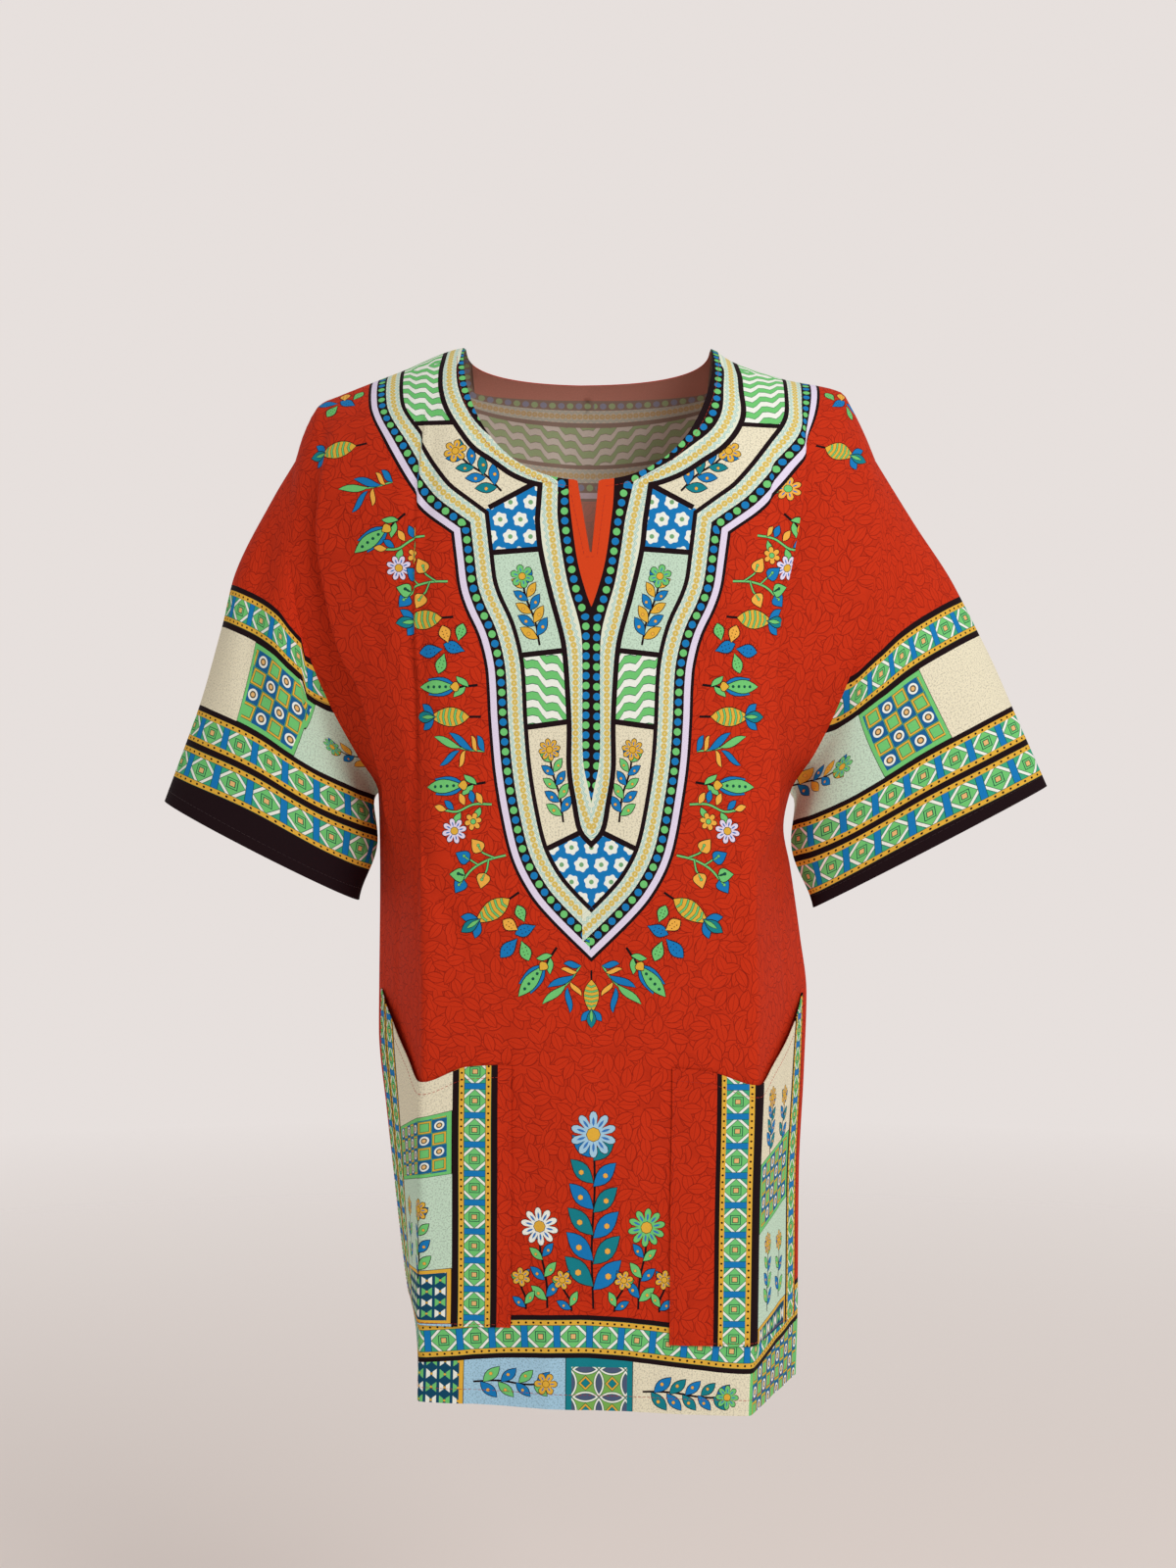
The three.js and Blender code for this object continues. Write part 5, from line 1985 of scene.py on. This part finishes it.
def add_pocket_panel(art, pocket, sign, start, end):
    rows = pocket["rows"]
    width = end - start
    for (top, tilt, name), (bottom, low_tilt, _) in zip(rows, rows[1:] + [(-800, 0, "")]):
        corners = np.array([
            (sign * start, bottom), (sign * end, bottom + low_tilt * width), (sign * end, top + tilt * width),
            (sign * start, top),
        ])
        if sign < 0:
            corners = corners[[1, 0, 3, 2]]
        if name == "check":
            art.add("plain", spaced(corners, 5.0, True), GREEN)
            add_check(art, corners, round(width / 13), 4)
        elif name == "wings":
            add_wings(art, corners, round(width / 10.5), 4)
        else:
            tint = {"cream": CREAM, "mint": MINT, "sky": SKY}[name]
            art.add("speckle", spaced(corners, 5.0, True), tint)
    for k, (rise, height, tints, top) in enumerate(pocket["plants"]):
        at = (sign * (start + width * (0.32 if k % 2 else 0.3)), rise)
        plant(height, 4, tints, top, 8, 8.0, 15).put(art, at, math.pi / 2, 1.0, sign)
        at = (sign * (start + width * 0.74), rise + 4)
        plant(height * 0.85, 3, tints[::-1], top, 6, 7.5, 15).put(art, at, math.pi / 2, 1.0, sign)


POCKETS["right"]["plants"] = [(-704, 52, [BLUE, GREEN], MUSTARD)]
POCKETS["left"]["plants"] = [(-612, 42, [TEAL, BLUE], MUSTARD), (-728, 50, [BLUE, GREEN], MUSTARD)]


def sew(name, lines, place, facing, material):
    """Rows of small stitches along lines on the flat cloth, as one mesh."""
    points, faces = [], []
    for line in lines:
        line = spaced(line, 1.0)
        run = np.concatenate([[0], np.cumsum(np.linalg.norm(np.diff(line, axis=0), axis=1))])
        starts = np.arange(1, run[-1] - STITCH_LENGTH, STITCH_PITCH)
        ends = starts + STITCH_LENGTH
        first, last = (np.stack([np.interp(at, run, line[:, k]) for k in (0, 1)], 1) for at in (starts, ends))
        normal = normals_of(place, (first + last) / 2, facing)
        a, b = place(first), place(last)
        step = (b - a) / np.linalg.norm(b - a, axis=1)[:, None]
        aside = np.cross(normal, step) * STITCH_HALF
        low, high, taper = normal * STITCH_SUNK, normal * STITCH_HEIGHT, step * STITCH_TAPER
        ring = np.stack([a + aside - low, a - aside - low, a + taper + high, b - taper + high,
                         b + aside - low, b - aside - low], 1)
        for k in range(len(ring)):
            base = len(points)
            points.extend(ring[k])
            for face in ((0, 1, 2), (4, 3, 5), (0, 2, 3, 4), (1, 5, 3, 2), (0, 4, 5, 1)):
                faces.append([base + corner for corner in face])
    mesh = bpy.data.meshes.new(name)
    mesh.from_pydata((np.array(points) * MM).tolist(), [], faces)
    mesh.materials.append(material)
    stitches = bpy.data.objects.new(name, mesh)
    bpy.context.scene.collection.objects.link(stitches)
    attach(stitches, "root")
    return stitches


def neck_seam(sign, front):
    """Half of the seam inside the neck's edge, from just below the shoulder."""
    return inset(neck_edge(sign, front)[2:], sign * NECK_MARGIN)


def front_seams():
    lines = [HEM_SEAM]
    bottom = SLIT_BOTTOM - SLIT_FOOT_MARGIN
    for sign in (1, -1):
        lines.append(neck_seam(sign, True))
        top = (sign * (SLIT_HALF + SLIT_MARGIN), SLIT_SEAM_TOP)
        lines.append([top, (SLIT_LEAN + sign * SLIT_MARGIN, bottom)])
    lines.append([(SLIT_LEAN - SLIT_MARGIN, bottom), (SLIT_LEAN + SLIT_MARGIN, bottom)])
    return lines


def pocket_seams(side, pocket):
    inner, outer = pocket["inner"] + POCKET_MARGIN, pocket["outer"] - POCKET_MARGIN
    bottom = pocket["bottom"] + POCKET_MARGIN
    mouth = curve(pocket["mouth"], 1)
    inner_top, outer_top = (float(mouth(cut)) - POCKET_MARGIN for cut in (inner, outer))
    round_it = np.array([(inner, inner_top), (inner, bottom), (outer, bottom), (outer, outer_top)])
    cuts = np.linspace(inner, outer, 60)
    mouth_hem = np.stack([cuts, mouth(cuts) - MOUTH_HEM], 1)
    return [line * (side["sign"], 1) for line in (round_it, mouth_hem)]


def build_garment(materials):
    pieces = {}
    for name, is_front, place, art in (
        ("front", True, front_point, front_print()), ("back", False, back_point, back_print()),
    ):
        pieces[name] = make_cloth(
            name, panel_outline(is_front), panel_grid(), art, place, 1 if is_front else -1, SHOWN_THICKNESS,
            materials,
        )
    for key, side in SIDES.items():
        name = "sleeve_" + key
        pieces[name] = make_cloth(
            name, sleeve_outline(side), sleeve_grid(), sleeve_print(side),
            sleeve_place(side), -side["sign"], SHOWN_THICKNESS, materials,
        )
        pocket = POCKETS[key]
        name = "pocket_" + key
        pieces[name] = make_cloth(
            name, pocket_outline(side, pocket), pocket_grid(side, pocket), pocket_print(side, pocket),
            pocket_place(side, pocket), 1, pocket_thickness(side, pocket), materials,
        )
    return pieces


def make_thread(name, colour):
    material = bpy.data.materials.new(name)
    material.use_nodes = True
    shader = material.node_tree.nodes["Principled BSDF"]
    shader.inputs["Base Color"].default_value = (*colour, 1)
    shader.inputs["Roughness"].default_value = 0.7
    return material


def sew_garment():
    """The stitches of each piece, by its name."""
    thread = make_thread("thread", THREAD)
    dark_thread = make_thread("dark_thread", DARK_THREAD)
    back_seams = [HEM_SEAM] + [neck_seam(sign, False) for sign in (1, -1)]
    sewn = {
        "front": sew("stitches_front", front_seams(), front_point, 1, thread),
        "back": sew("stitches_back", back_seams, back_point, -1, thread),
    }
    for key, side in SIDES.items():
        sewn["sleeve_" + key] = sew(
            "stitches_sleeve_" + key, [CUFF_SEAM], sleeve_place(side), -side["sign"],
            dark_thread,
        )
        pocket = POCKETS[key]
        sewn["pocket_" + key] = sew(
            "stitches_pocket_" + key, pocket_seams(side, pocket), pocket_place(side, pocket), 1,
            thread,
        )
    return sewn


def flat_area(outline):
    x, y = outline[:, 0], outline[:, 1]
    return abs((x * np.roll(y, -1) - np.roll(x, -1) * y).sum()) / 2


def declare_sheets(pieces, sewn):
    """Works out the width, the length and the area of each piece's cut, in metres, and keeps none of them."""
    outlines = {"front": panel_outline(True), "back": panel_outline(False)}
    for key, side in SIDES.items():
        outlines["sleeve_" + key] = sleeve_outline(side)
        outlines["pocket_" + key] = pocket_outline(side, POCKETS[key])
    for name, outline in outlines.items():
        width, length = (outline.max(0) - outline.min(0)) * MM
        flat_area(outline) * MM * MM


def faded_by(tree, kinds, limits):
    """Three nodes for a row, where the last one turns a number between two limits into another pair; the
    caller joins them.
    """
    place, measure, fade = (tree.nodes.new(kind) for kind in (*kinds, "ShaderNodeMapRange"))
    for socket, value in zip(fade.inputs[1:5], limits):
        socket.default_value = value
    return place, measure, fade


def make_room():
    """A pale room, brighter behind the garment than in front of it."""
    world = bpy.data.worlds.new("pale_room")
    world.use_nodes = True
    tree = world.node_tree
    background = tree.nodes["Background"]
    background.inputs[0].default_value = (*ROOM_COLOUR, 1)
    way, parts, fade = faded_by(
        tree, ("ShaderNodeTexCoord", "ShaderNodeSeparateXYZ"), (*ROOM_FADE, ROOM_FRONT, ROOM_WALL))
    fade.interpolation_type = "SMOOTHSTEP"
    tree.links.new(way.outputs["Generated"], parts.inputs[0])
    tree.links.new(parts.outputs["Y"], fade.inputs[0])
    tree.links.new(fade.outputs[0], background.inputs[1])
    bpy.context.scene.world = world


def make_floor():
    """A floor well below the hem, which fades into the room."""
    material = bpy.data.materials.new("floor")
    material.use_nodes = True
    tree = material.node_tree
    shader = tree.nodes["Principled BSDF"]
    shader.inputs["Base Color"].default_value = (*FLOOR_COLOUR, 1)
    shader.inputs["Roughness"].default_value = FLOOR_ROUGHNESS
    place, far, fade = faded_by(
        tree, ("ShaderNodeTexCoord", "ShaderNodeVectorMath"), (*FLOOR_FADE, 1.0, 0.0))
    far.operation = "LENGTH"
    tree.links.new(place.outputs["Object"], far.inputs[0])
    tree.links.new(far.outputs["Value"], fade.inputs[0])
    tree.links.new(fade.outputs[0], shader.inputs["Alpha"])
    bpy.ops.mesh.primitive_plane_add(size=FLOOR_SIZE, location=(0, 0, FLOOR_HEIGHT))
    floor = bpy.context.object
    floor.name = "floor"
    floor.data.materials.append(material)


def make_lights():
    for name, place, size, power in LIGHTS:
        data = bpy.data.lights.new(name, "AREA")
        data.size = size
        data.energy = power
        lamp = bpy.data.objects.new(name, data)
        lamp.location = place
        aim = Vector((0, 0, CAMERA_HEIGHT)) - Vector(place)
        lamp.rotation_euler = aim.to_track_quat("-Z", "Y").to_euler()
        bpy.context.scene.collection.objects.link(lamp)


def make_camera():
    bpy.context.scene.view_settings.view_transform = "Standard"
    lens = bpy.data.cameras.new("camera")
    lens.sensor_width = SENSOR
    lens.lens = SENSOR * FOCAL_PIXELS / PICTURE_HEIGHT
    camera = bpy.data.objects.new("camera", lens)
    camera.location = (0, -CAMERA_DISTANCE, CAMERA_HEIGHT)
    camera.rotation_euler = (math.pi / 2, 0, 0)
    bpy.context.scene.collection.objects.link(camera)
    bpy.context.scene.camera = camera


declare_sheets(build_garment(make_materials()), sew_garment())
make_room()
make_floor()
make_lights()
make_camera()
